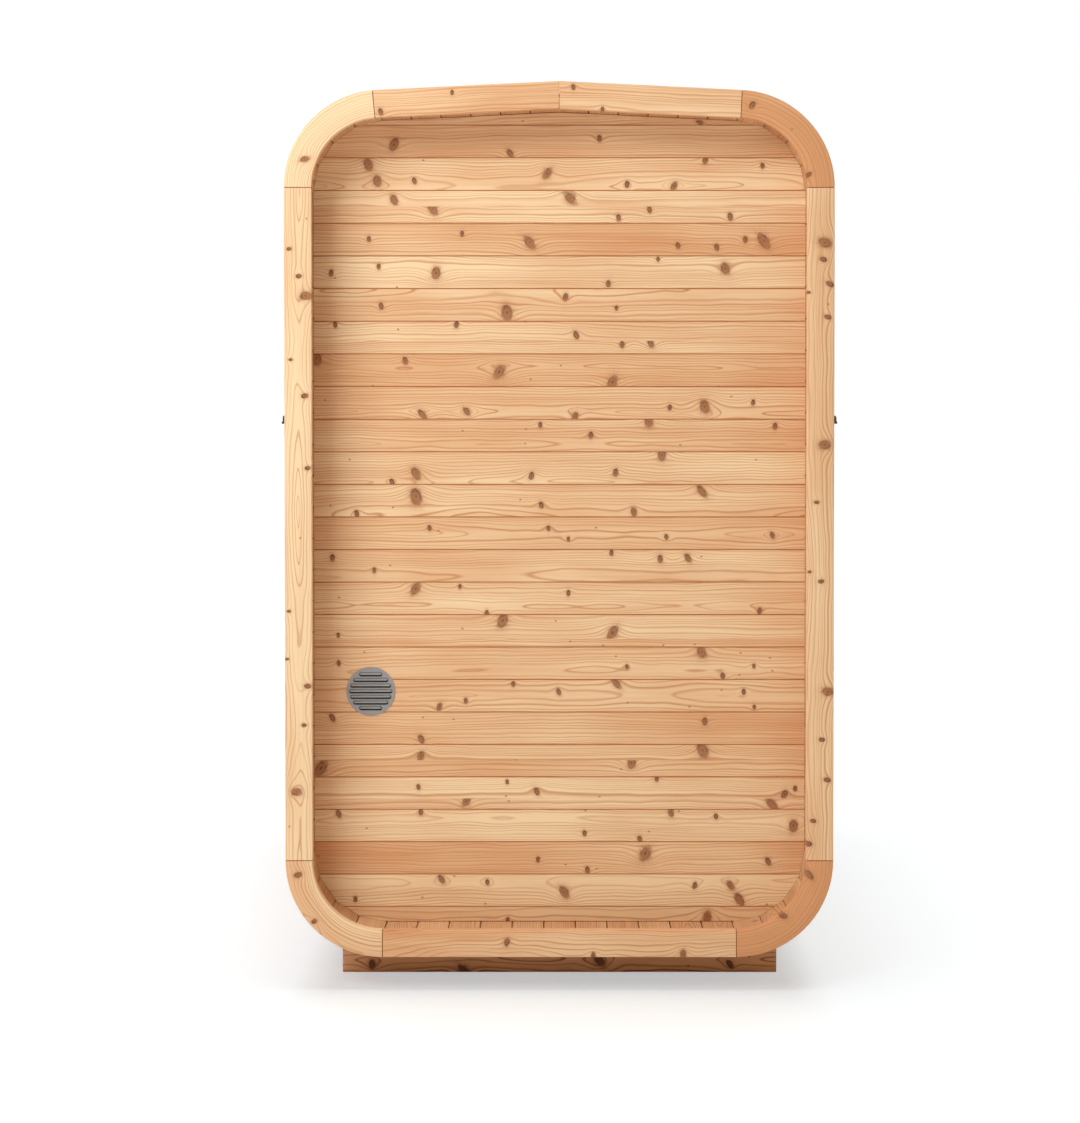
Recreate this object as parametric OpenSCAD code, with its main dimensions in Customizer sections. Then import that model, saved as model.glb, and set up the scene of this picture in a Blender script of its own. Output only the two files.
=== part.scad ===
// Square stave-built outdoor sauna: a rounded-square shell of front-to-back staves on three
// bearers, a flat trim ring on each end, recessed end walls, a vent and a plain door.
// The back end faces -Y, the door end +Y, and +Z is up. The origin is on the ground, under the
// middle of the shell.

/* [Shell] */
// Number of staves across the floor
floor_staves = 11; // [8:1:14]
// Cover width of a floor stave
floor_cover = 77.5; // [60:0.5:100]
// Number of staves up each side
wall_staves = 21; // [20:1:26]
// Cover width of a side stave
wall_cover = 77; // [70:0.5:100]
// Number of flat staves round each corner
corner_staves = 4; // [3:1:6]
// Inside radius of the rounded corners
corner_r = 178; // [140:1:240]
// Thickness of the staves
shell_t = 42; // [34:1:56]
// Length of the staves, front to back
shell_len = 1960; // [1500:10:3000]
// Slope of the roof, in degrees
roof_pitch = 2.8; // [0.5:0.1:6]

/* [End rings] */
// Width of the flat trim ring
ring_w = 65; // [58:1:90]
// Thickness of the trim ring
ring_t = 20; // [12:1:32]
// How far the ring reaches in past the inside of the staves
ring_lap = 10; // [4:1:12]

/* [End walls] */
// Thickness of the end walls
wall_t = 42; // [28:1:56]
// Depth of the end wall's face behind the end of the staves
wall_recess = 100; // [70:1:160]
// Depth of the groove in the staves that holds an end wall
groove_depth = 10; // [6:1:14]
// Clearance round an end wall in its groove
groove_gap = 0.5; // [0.2:0.1:0.9]

/* [Door] */
// Width of the door leaf
leaf_w = 620; // [560:5:700]
// Height of the door leaf
leaf_h = 1780; // [1500:10:1800]
// Thickness of the door leaf
leaf_t = 40; // [30:1:50]
// Clearance round the door leaf
leaf_gap = 3; // [2:0.5:5]
// Width of the door frame's members
frame_w = 40; // [30:1:60]
// How far the door frame stands out from the wall
frame_proud = 12; // [0:1:20]
// Height of the door sill above the floor
sill_h = 40; // [25:1:60]

/* [Door fittings] */
// Height of the hinges' middle one above the foot of the leaf
hinge_mid = 890; // [700:10:1000]
// Distance between neighbouring hinges
hinge_pitch = 700; // [500:10:760]
// Height of a hinge
hinge_h = 76; // [50:1:100]
// Width of one hinge plate
hinge_plate_w = 26; // [16:1:36]
// Thickness of a hinge plate
hinge_plate_t = 2.5; // [1.5:0.5:4]
// Radius of the hinge knuckle
hinge_r = 6; // [4:0.5:9]
// Length of the door handles
handle_len = 320; // [200:10:500]
// Width and depth of the handle bar
handle_bar = 28; // [20:1:40]
// Space between the handle bar and the leaf
handle_space = 32; // [30:1:40]
// Height of the handles' middle above the foot of the leaf
handle_up = 880; // [600:10:1100]
// Distance of the handles from the edge of the leaf
handle_inset = 60; // [40:1:120]

/* [Vent] */
// Diameter of the vent grille
grille_d = 120; // [110:1:160]
// Thickness of the grille plate
grille_t = 2; // [1:0.5:4]
// How far the louvres stand out from the plate
louvre_proud = 4; // [2:0.5:6]
// Number of louvres
louvres = 7; // [5:1:9]
// Distance between neighbouring louvres
louvre_pitch = 13.9; // [12:0.1:16]
// Height of one louvre
louvre_h = 9; // [6:0.5:10]
// Distance of the louvres' ends from the edge of the grille
louvre_margin = 8; // [6:0.5:12]
// Diameter of the grille's screw holes
screw_d = 3; // [2:0.5:4]
// Distance of the screw holes from the edge of the grille
screw_margin = 5; // [3:0.5:8]
// Outside diameter of the vent sleeve
sleeve_d = 100; // [80:1:106]
// Wall of the vent sleeve
sleeve_t = 2; // [1.5:0.5:4]
// Clearance round the vent sleeve
sleeve_gap = 0.5; // [0.2:0.1:0.9]
// Distance of the vent to the left of the middle
vent_side = 465; // [380:1:480]
// Height of the vent above the floor
vent_up = 570; // [300:5:900]

/* [Bands] */
// Width of the steel bands
band_w = 30; // [20:1:40]
// Thickness of the steel bands
band_t = 2; // [1:0.5:3]
// Height of the band clamps above the floor
clamp_up = 1239; // [600:1:1400]
// Height of a band clamp
clamp_h = 20; // [16:1:40]
// How far the lower lug of a clamp stands out from the shell
clamp_out = 38; // [30:1:60]
// How much shorter the upper lug of a clamp is
clamp_step = 3; // [0:0.5:6]
// Thickness of a clamp's lugs
lug_t = 5; // [3:0.5:8]
// Diameter of a clamp's bolt
bolt_d = 10; // [6:1:12]
// Distance of the bolt's middle from the end of the lower lug
bolt_margin = 9; // [8:0.5:14]

/* [Bearers] */
// Length of a bearer, side to side
bearer_len = 1080; // [900:10:1300]
// Width of a bearer, front to back
bearer_w = 45; // [45:1:120]
// Height of a bearer
bearer_h = 95; // [45:1:150]
// Distance of the end bearers behind the ends of the staves
bearer_inset = 140; // [60:5:400]

/* [Hidden] */
$fn = 96;
over = 1; // how far a cut runs past the face it opens

// cross-section of the shell: corner centres and heights
half_flat = floor_staves * floor_cover / 2;
floor_z = bearer_h + shell_t;
low_z = floor_z + corner_r;
high_z = low_z + wall_staves * wall_cover;
inner_half = half_flat + corner_r;
outer_half = inner_half + shell_t;
shell_end = shell_len / 2;

// trim ring: its edges as distances outside the inner face of the staves
ring_in = -ring_lap;
ring_out = ring_w - ring_lap;

// end walls
wall_face = shell_end - wall_recess;
wall_back = wall_face - wall_t;

// doorway and door frame
opening_half = leaf_w / 2 + leaf_gap + frame_w;
sill_top = floor_z + sill_h;
leaf_z = sill_top + leaf_gap;
leaf_top = leaf_z + leaf_h;
head_z = leaf_top + leaf_gap;
opening_top = head_z + frame_w;
frame_face = wall_face + frame_proud;
frame_depth = wall_t + frame_proud;

// vent
vent_z = floor_z + vent_up;
louvre_reach = grille_d / 2 - louvre_margin;
slot_h = louvre_h / 2;
screw_circle = grille_d / 2 - screw_margin;

// bands and clamps
band_y = wall_face - wall_t / 2;
clamp_z = floor_z + clamp_up;

// colours
pale_wood = [0.92, 0.76, 0.56];
board_wood = [0.86, 0.66, 0.46];
bearer_wood = [0.42, 0.24, 0.14];
grille_grey = [0.55, 0.54, 0.53];
black_steel = [0.08, 0.08, 0.09];

// ---- outlines in the cross-section, x across and y up ----

// points along one rounded corner, at distance d outside the inner face, as flat facets
function corner_points(cx, cz, d, from, to) =
    [for (i = [0:corner_staves])
        let (a = from + (to - from) * i / corner_staves)
        [cx + (corner_r + d) * cos(a), cz + (corner_r + d) * sin(a)]];

// point on the ridge, at distance d outside the inner face
function ridge_point(d) =
    [0, high_z + (corner_r + d) / cos(roof_pitch) + half_flat * tan(roof_pitch)];

// whole outline at distance d outside the inner face
function outline(d) = concat(
    corner_points(half_flat, low_z, d, -90, 0),
    corner_points(half_flat, high_z, d, 0, 90 - roof_pitch),
    [ridge_point(d)],
    corner_points(-half_flat, high_z, d, 90 + roof_pitch, 180),
    corner_points(-half_flat, low_z, d, 180, 270));

function reversed(points) = [for (i = [len(points) - 1:-1:0]) points[i]];

// strip between two distances: along the floor, a side, a roof slope or a corner
module floor_strip(d0, d1)
    polygon([[-half_flat, low_z - corner_r - d1], [half_flat, low_z - corner_r - d1],
             [half_flat, low_z - corner_r - d0], [-half_flat, low_z - corner_r - d0]]);

module side_strip(d0, d1)
    polygon([[inner_half + d0, low_z], [inner_half + d1, low_z],
             [inner_half + d1, high_z], [inner_half + d0, high_z]]);

function eave_point(d) = [half_flat + (corner_r + d) * sin(roof_pitch),
                          high_z + (corner_r + d) * cos(roof_pitch)];

module roof_strip(d0, d1)
    polygon([eave_point(d0), eave_point(d1), ridge_point(d1), ridge_point(d0)]);

module low_corner_strip(d0, d1)
    polygon(concat(corner_points(half_flat, low_z, d1, -90, 0),
                   reversed(corner_points(half_flat, low_z, d0, -90, 0))));

module high_corner_strip(d0, d1)
    polygon(concat(corner_points(half_flat, high_z, d1, 0, 90 - roof_pitch),
                   reversed(corner_points(half_flat, high_z, d0, 0, 90 - roof_pitch))));

// one quarter of the round trim: a true arc between the angles from and to
module arc_strip(cx, cz, from, to)
    translate([cx, cz])
        intersection() {
            difference() {
                circle(r = corner_r + ring_out);
                circle(r = corner_r + ring_in);
            }
            reach = 2 * (corner_r + ring_out);
            middle = (from + to) / 2;
            polygon([[0, 0], reach * [cos(from), sin(from)],
                     reach * [cos(middle), sin(middle)], reach * [cos(to), sin(to)]]);
        }

// ---- shared solids ----

// raises a cross-section into a solid from y0 to y1
module slab(y0, y1)
    translate([0, y1, 0]) rotate([90, 0, 0]) linear_extrude(height = y1 - y0) children();

module left_side() mirror([1, 0, 0]) children();

// a run of staves, with the groove for each end wall
module staves()
    color(pale_wood)
        difference() {
            slab(-shell_end, shell_end) children();
            slab(wall_back - groove_gap, wall_face + groove_gap) polygon(outline(groove_depth));
            slab(-wall_face - groove_gap, -wall_back + groove_gap) polygon(outline(groove_depth));
        }

// a piece of the trim ring on the back or the front end
module back_trim() color(pale_wood) slab(-shell_end - ring_t, -shell_end) children();
module front_trim() color(pale_wood) slab(shell_end, shell_end + ring_t) children();

module ring_floor() floor_strip(ring_in, ring_out);
module ring_side() side_strip(ring_in, ring_out);
module ring_roof() roof_strip(ring_in, ring_out);
module ring_low_corner() arc_strip(half_flat, low_z, -90, 0);
module ring_high_corner() arc_strip(half_flat, high_z, 0, 90 - roof_pitch);

module wall_outline() polygon(outline(groove_depth - groove_gap));

module wall_stuff() color(board_wood) slab(wall_back, wall_face) children();

// everything on one side of the doorway, in the cross-section
module beside_doorway()
    translate([opening_half, 0]) square([outer_half, 2 * high_z]);

// ---- shell ----

module floor() staves() floor_strip(0, shell_t);
module right_wall() staves() side_strip(0, shell_t);
module left_wall() staves() left_side() side_strip(0, shell_t);
module roof_right() staves() roof_strip(0, shell_t);
module roof_left() staves() left_side() roof_strip(0, shell_t);
module corner_bottom_right() staves() low_corner_strip(0, shell_t);
module corner_bottom_left() staves() left_side() low_corner_strip(0, shell_t);
module corner_top_right() staves() high_corner_strip(0, shell_t);
module corner_top_left() staves() left_side() high_corner_strip(0, shell_t);

// ---- trim rings ----

module back_ring_bottom() back_trim() ring_floor();
module back_ring_right() back_trim() ring_side();
module back_ring_left() back_trim() left_side() ring_side();
module back_ring_top_right() back_trim() ring_roof();
module back_ring_top_left() back_trim() left_side() ring_roof();
module back_ring_corner_bottom_right() back_trim() ring_low_corner();
module back_ring_corner_bottom_left() back_trim() left_side() ring_low_corner();
module back_ring_corner_top_right() back_trim() ring_high_corner();
module back_ring_corner_top_left() back_trim() left_side() ring_high_corner();

module front_ring_bottom() front_trim() ring_floor();
module front_ring_right() front_trim() ring_side();
module front_ring_left() front_trim() left_side() ring_side();
module front_ring_top_right() front_trim() ring_roof();
module front_ring_top_left() front_trim() left_side() ring_roof();
module front_ring_corner_bottom_right() front_trim() ring_low_corner();
module front_ring_corner_bottom_left() front_trim() left_side() ring_low_corner();
module front_ring_corner_top_right() front_trim() ring_high_corner();
module front_ring_corner_top_left() front_trim() left_side() ring_high_corner();

// ---- end walls ----

module back_wall()
    color(board_wood)
        difference() {
            slab(-wall_face, -wall_back) wall_outline();
            translate([-vent_side, -wall_back + over, vent_z])
                rotate([90, 0, 0])
                    cylinder(r = sleeve_d / 2 + sleeve_gap, h = wall_t + 2 * over);
        }

module front_wall_right()
    wall_stuff() intersection() {
        wall_outline();
        beside_doorway();
    }

module front_wall_left()
    wall_stuff() intersection() {
        wall_outline();
        left_side() beside_doorway();
    }

module front_wall_over_door()
    wall_stuff() intersection() {
        wall_outline();
        translate([-opening_half, opening_top]) square([2 * opening_half, high_z]);
    }

// ---- door ----

module door_sill()
    color(board_wood) {
        tongue = groove_depth - groove_gap;
        union() {
            slab(wall_back, frame_face)
                translate([-opening_half, floor_z]) square([2 * opening_half, sill_h]);
            slab(wall_back, wall_face)
                translate([-opening_half, floor_z - tongue])
                    square([2 * opening_half, tongue + sill_h]);
        }
    }

module door_jambs()
    color(board_wood)
        for (side = [-1, 1])
            translate([side * (opening_half - frame_w / 2) - frame_w / 2, wall_back, sill_top])
                cube([frame_w, frame_depth, head_z - sill_top]);

module door_head()
    color(board_wood)
        translate([-opening_half, wall_back, head_z])
            cube([2 * opening_half, frame_depth, frame_w]);

module door_leaf()
    color(board_wood)
        translate([-leaf_w / 2, frame_face - leaf_t, leaf_z])
            cube([leaf_w, leaf_t, leaf_h]);

// hinges: two plates flat on the leaf and the jamb, and the knuckle over the gap between them
module door_hinges()
    color(black_steel)
        for (i = [-1, 0, 1])
            translate([-(leaf_w + leaf_gap) / 2, frame_face, leaf_z + hinge_mid + i * hinge_pitch])
                union() {
                    translate([-hinge_plate_w, 0, -hinge_h / 2])
                        cube([2 * hinge_plate_w, hinge_plate_t, hinge_h]);
                    translate([0, hinge_r, -hinge_h / 2])
                        cylinder(r = hinge_r, h = hinge_h);
                }

// a handle on each face of the leaf: an upright bar on two short blocks
module door_handles()
    color(pale_wood)
        for (face = [0, 1])
            translate([leaf_w / 2 - handle_inset - handle_bar / 2,
                       face == 0 ? frame_face : frame_face - leaf_t,
                       leaf_z + handle_up])
                mirror([0, face, 0])
                    union() {
                        translate([0, handle_space, -handle_len / 2])
                            cube([handle_bar, handle_bar, handle_len]);
                        for (end = [-1, 1])
                            translate([0, 0, end * (handle_len - handle_bar) / 2 - handle_bar / 2])
                                cube([handle_bar, handle_space + handle_bar / 2, handle_bar]);
                    }

// ---- vent ----

// half the length of the louvre at height h over the middle of the grille
function louvre_half(h) = sqrt(louvre_reach * louvre_reach - h * h);

// round plate with a row of hooded slots that open downwards, and four screw holes
module vent_grille()
    color(grille_grey)
        translate([-vent_side, -wall_face, vent_z])
            rotate([90, 0, 0])
                difference() {
                    union() {
                        cylinder(r = grille_d / 2, h = grille_t);
                        for (i = [0:louvres - 1])
                            let (h = (i - (louvres - 1) / 2) * louvre_pitch)
                            translate([-louvre_half(h), h - louvre_h / 2, 0])
                                cube([2 * louvre_half(h), louvre_h, grille_t + louvre_proud]);
                    }
                    for (i = [0:louvres - 1])
                        let (h = (i - (louvres - 1) / 2) * louvre_pitch,
                             half = louvre_half(h) - grille_t)
                        translate([-half, h - louvre_h / 2 - over, -over])
                            cube([2 * half, slot_h + over, over + louvre_proud]);
                    for (a = [0:90:270])
                        rotate(a) translate([0, screw_circle, -over])
                            cylinder(d = screw_d, h = grille_t + 2 * over, $fn = 24);
                }

module vent_sleeve()
    color(grille_grey)
        translate([-vent_side, -wall_back, vent_z])
            rotate([90, 0, 0])
                difference() {
                    cylinder(r = sleeve_d / 2, h = wall_t);
                    translate([0, 0, -over])
                        cylinder(r = sleeve_d / 2 - sleeve_t, h = wall_t + 2 * over);
                }

// ---- bands ----

// a steel band round the shell, in an upper and a lower half that end at the clamps
module band(y)
    color(black_steel)
        slab(y - band_w / 2, y + band_w / 2)
            difference() {
                polygon(outline(shell_t + band_t));
                polygon(outline(shell_t));
                translate([-2 * outer_half, clamp_z - clamp_h / 2])
                    square([4 * outer_half, clamp_h]);
            }

// a clamp: two lugs turned out from the band ends, and the bolt that draws them together
module clamp(y)
    translate([outer_half, y, clamp_z])
        union() {
            translate([0, -band_w / 2, clamp_h / 2 - lug_t])
                cube([clamp_out - clamp_step, band_w, lug_t]);
            translate([0, -band_w / 2, -clamp_h / 2])
                cube([clamp_out, band_w, lug_t]);
            translate([clamp_out - bolt_margin, 0, -clamp_h / 2])
                cylinder(d = bolt_d, h = clamp_h, $fn = 32);
        }

module back_band() band(-band_y);
module front_band() band(band_y);

module band_clamps()
    color(black_steel)
        for (y = [-band_y, band_y]) {
            clamp(y);
            left_side() clamp(y);
        }

// ---- bearers ----

module bearer(y)
    color(bearer_wood)
        translate([-bearer_len / 2, y - bearer_w / 2, 0])
            cube([bearer_len, bearer_w, bearer_h]);

module bearer_back() bearer(-shell_end + bearer_inset + bearer_w / 2);
module bearer_middle() bearer(0);
module bearer_front() bearer(shell_end - bearer_inset - bearer_w / 2);

floor();
left_wall();
right_wall();
roof_left();
roof_right();
corner_bottom_left();
corner_bottom_right();
corner_top_left();
corner_top_right();
back_ring_bottom();
back_ring_left();
back_ring_right();
back_ring_top_left();
back_ring_top_right();
back_ring_corner_bottom_left();
back_ring_corner_bottom_right();
back_ring_corner_top_left();
back_ring_corner_top_right();
front_ring_bottom();
front_ring_left();
front_ring_right();
front_ring_top_left();
front_ring_top_right();
front_ring_corner_bottom_left();
front_ring_corner_bottom_right();
front_ring_corner_top_left();
front_ring_corner_top_right();
back_wall();
front_wall_left();
front_wall_right();
front_wall_over_door();
door_sill();
door_jambs();
door_head();
door_leaf();
door_hinges();
door_handles();
vent_grille();
vent_sleeve();
back_band();
front_band();
band_clamps();
bearer_back();
bearer_middle();
bearer_front();
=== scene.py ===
"""Looks of the square sauna: staves, trim rings, board walls, vent, door, bands and bearers."""
import math
import random

import bpy
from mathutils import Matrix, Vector


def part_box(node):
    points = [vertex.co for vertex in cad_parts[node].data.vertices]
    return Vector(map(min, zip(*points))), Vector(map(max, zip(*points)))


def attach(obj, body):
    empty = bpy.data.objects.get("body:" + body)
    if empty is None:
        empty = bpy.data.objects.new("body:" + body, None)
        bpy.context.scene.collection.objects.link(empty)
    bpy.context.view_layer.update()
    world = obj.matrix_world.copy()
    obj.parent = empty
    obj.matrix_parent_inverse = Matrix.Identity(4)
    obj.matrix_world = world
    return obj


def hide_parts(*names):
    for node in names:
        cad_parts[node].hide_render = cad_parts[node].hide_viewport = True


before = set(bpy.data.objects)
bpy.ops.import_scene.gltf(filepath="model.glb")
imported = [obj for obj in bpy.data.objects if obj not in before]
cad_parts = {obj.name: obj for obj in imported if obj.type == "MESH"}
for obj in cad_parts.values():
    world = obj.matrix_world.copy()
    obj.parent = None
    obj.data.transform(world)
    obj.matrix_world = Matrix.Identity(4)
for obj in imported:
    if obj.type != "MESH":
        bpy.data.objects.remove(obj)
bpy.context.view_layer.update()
rng = random.Random(11)
MM = 0.001
SAME = 0.02 * MM  # points nearer than this count as one place
RIGHT_ANGLE = math.pi / 2

# ---- sizes, all from the frame ----

floor_lo, floor_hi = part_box("floor")
side_lo, side_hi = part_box("right_wall")
roof_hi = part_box("roof_right")[1]
ring_lo, ring_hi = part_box("back_ring_bottom")
wall_lo, wall_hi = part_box("back_wall")

half_flat, shell_end, floor_z = floor_hi
shell_t = floor_hi.z - floor_lo.z
inner_half, low_z, high_z = side_lo.x, side_lo.z, side_hi.z
corner_r = inner_half - half_flat
roof_pitch = math.asin((roof_hi.x - half_flat) / (corner_r + shell_t))
eave_turn = RIGHT_ANGLE - roof_pitch
ring_in, ring_out = floor_z - ring_hi.z, floor_z - ring_lo.z
ring_face, ring_t = -ring_lo.y, ring_hi.y - ring_lo.y
wall_face, wall_t = -wall_lo.y, wall_hi.y - wall_lo.y

CORNER_STAVES = 4
FLOOR_STAVES = 11
SIDE_STAVES = 21
ROOF_STAVES = 6


# ---- outline of the shell, x across and z up ----

def on_corner(middle_z, d, turn):
    """Point at distance d outside the inner face, on the round of a right-hand corner."""
    return (half_flat + (corner_r + d) * math.cos(turn), middle_z + (corner_r + d) * math.sin(turn))


def ridge_height(d):
    return high_z + (corner_r + d) / math.cos(roof_pitch) + half_flat * math.tan(roof_pitch)


def right_outline(d):
    """Right half of the faceted outline, from the floor up to the ridge."""
    steps = range(CORNER_STAVES + 1)
    return ([on_corner(low_z, d, RIGHT_ANGLE * (i / CORNER_STAVES - 1)) for i in steps]
            + [on_corner(high_z, d, eave_turn * i / CORNER_STAVES) for i in steps]
            + [(0.0, ridge_height(d))])


def half_width(z, d):
    """How far a face at distance d outside the inner one is from the middle, at height z."""
    points = right_outline(d)
    for (x0, z0), (x1, z1) in zip(points, points[1:]):
        if z0 <= z <= z1 and z1 > z0:
            return x0 + (x1 - x0) * (z - z0) / (z1 - z0)
    return half_flat if z < low_z else 0.0


def room_height(x, d):
    """Height of a face at distance d outside the inner one, over the room at x."""
    points = right_outline(d)[CORNER_STAVES + 1:]
    for (x0, z0), (x1, z1) in zip(points, points[1:]):
        if x1 <= abs(x) <= x0:
            return z0 + (z1 - z0) * (x0 - abs(x)) / max(x0 - x1, 1e-9)
    return high_z


# ---- outlines, sections and knots of boards ----

NO_KNOT = (99.0, 0.0, 0.001)
KNOT_NAMES = ("knot_1", "knot_2", "knot_3", "knot_4")
HEART_DEPTH = (0.012, 0.075)  # how far below a board's face the heart of its log lies
PATTERNS = 40.0  # the numbers that tell logs apart run from 0 to this


def arc(a, b, r, start, span, steps):
    """Points round (a, b), from the angle start over span in degrees; only the first one if r is 0."""
    turns = [math.radians(start + span * i / steps) for i in range(steps + 1 if r else 1)]
    return [(a + r * math.cos(turn), b + r * math.sin(turn)) for turn in turns]


def circle(radius, a=0.0, b=0.0, sides=64):
    return arc(a, b, radius, 0, 360, sides)[:-1]


def rounded_outline(half_a, half_b, r, steps=4):
    a, b = half_a - r, half_b - r
    return sum((arc(x, y, r, start, 90, steps) for x, y, start in
                ((a, b, 0), (-a, b, 90), (-a, -b, 180), (a, -b, 270))), [])


def eased(width, depth, front, back=None, steps=3, rows=()):
    """Section of a planed board, v across and w below its face, with rounded edges; rows are
    further points across both faces."""
    back = front if back is None else back
    rows = sorted(rows)
    return (arc(front, front, front, 180, 90, steps) + [(a, 0.0) for a in rows if front < a < width - front]
            + arc(width - front, front, front, 270, 90, steps)
            + arc(width - back, depth - back, back, 0, 90, steps)
            + [(a, depth) for a in rows[::-1] if back < a < width - back]
            + arc(back, depth - back, back, 90, 90, steps))


def stave_section(inner, outer, depth):
    """Section of a stave with tongue and groove, v from its middle, w below its outer face."""
    gap, ease = 1.4 * MM, 1.6 * MM
    a, b = (inner - gap) / 2, (outer - gap) / 2
    reach, half, slack = 6 * MM, 4 * MM, 0.4 * MM
    side = lambda w: b + (a - b) * w / depth
    low, high, foot = depth / 2 - half, depth / 2 + half, depth - ease
    right = [(b - ease, 0), (side(ease), ease), (side(low), low), (side(low) + reach, low + slack),
             (side(high) + reach, high - slack), (side(high), high), (side(foot), foot), (a - ease, depth)]
    left = [(-a + ease, depth), (-side(foot), foot), (-side(high), high),
            (-side(high) + reach + slack, high), (-side(low) + reach + slack, low),
            (-side(low), low), (-side(ease), ease), (-b + ease, 0)]
    return right + left


def random_log(width):
    """Where the heart of the tree lay: across the board, below its face, and a number for its pattern."""
    return (rng.uniform(-0.5, 1.5) * width, rng.uniform(*HEART_DEPTH), rng.uniform(0.0, PATTERNS))


def knots_beside(knots, u):
    """The two knots before and the two after a place along a board."""
    before = [NO_KNOT, NO_KNOT] + [n for n in knots if n[0] <= u]
    return before[-2:] + ([n for n in knots if n[0] > u] + [NO_KNOT, NO_KNOT])[:2]


def in_mm(rows):
    """Rows of measures in mm, turned into metres."""
    return [tuple(x * MM for x in row) for row in rows]


# ---- solids ----

def within(value, side, inset):
    return min(max(value, side[0] + inset), side[1] - inset)


def side_faces(count, size):
    """Faces between count rings of size points each."""
    return [[k * size + j, k * size + (j + 1) % size, (k + 1) * size + (j + 1) % size, (k + 1) * size + j]
            for k in range(count - 1) for j in range(size)]


def solid_faces(count, size):
    """Faces of a solid made of count rings, with an end face on the first and on the last one."""
    return side_faces(count, size) + [list(range(size))[::-1], list(range((count - 1) * size, count * size))]


def linked(name, data):
    """A new object in the scene."""
    thing = bpy.data.objects.new(name, data)
    bpy.context.scene.collection.objects.link(thing)
    return thing


def finished(name, mesh):
    """An object for a mesh, smooth over gentle bends and sharp over the others."""
    mesh.shade_smooth()
    mesh.set_sharp_from_angle(angle=math.radians(35))
    return linked(name, mesh)


def new_mesh(name, points, faces, material):
    mesh = bpy.data.meshes.new(name)
    mesh.from_pydata(points, [], faces)
    mesh.materials.append(material)
    return mesh


def hand_over(piece, slot, *nodes):
    """Ties a finished piece to the frame."""
    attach(piece, "root")
    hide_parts(*nodes)


class Solids:
    """Closed solids gathered into one mesh."""

    def __init__(self):
        self.points, self.faces = [], []

    def solid(self, points, faces):
        """Adds one closed solid, with its faces turned outwards."""
        points = [Vector(p) for p in points]
        volume = 0.0
        for face in faces:
            for i in range(1, len(face) - 1):
                a, b, c = (points[face[k]] - points[0] for k in (0, i, i + 1))
                volume += a.dot(b.cross(c))
        first, turn = len(self.points), 1 if volume > 0 else -1
        self.points += points
        self.faces += [[first + k for k in face[::turn]] for face in faces]

    def piece(self, name, material):
        return finished(name, new_mesh(name, self.points, self.faces, material))


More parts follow.
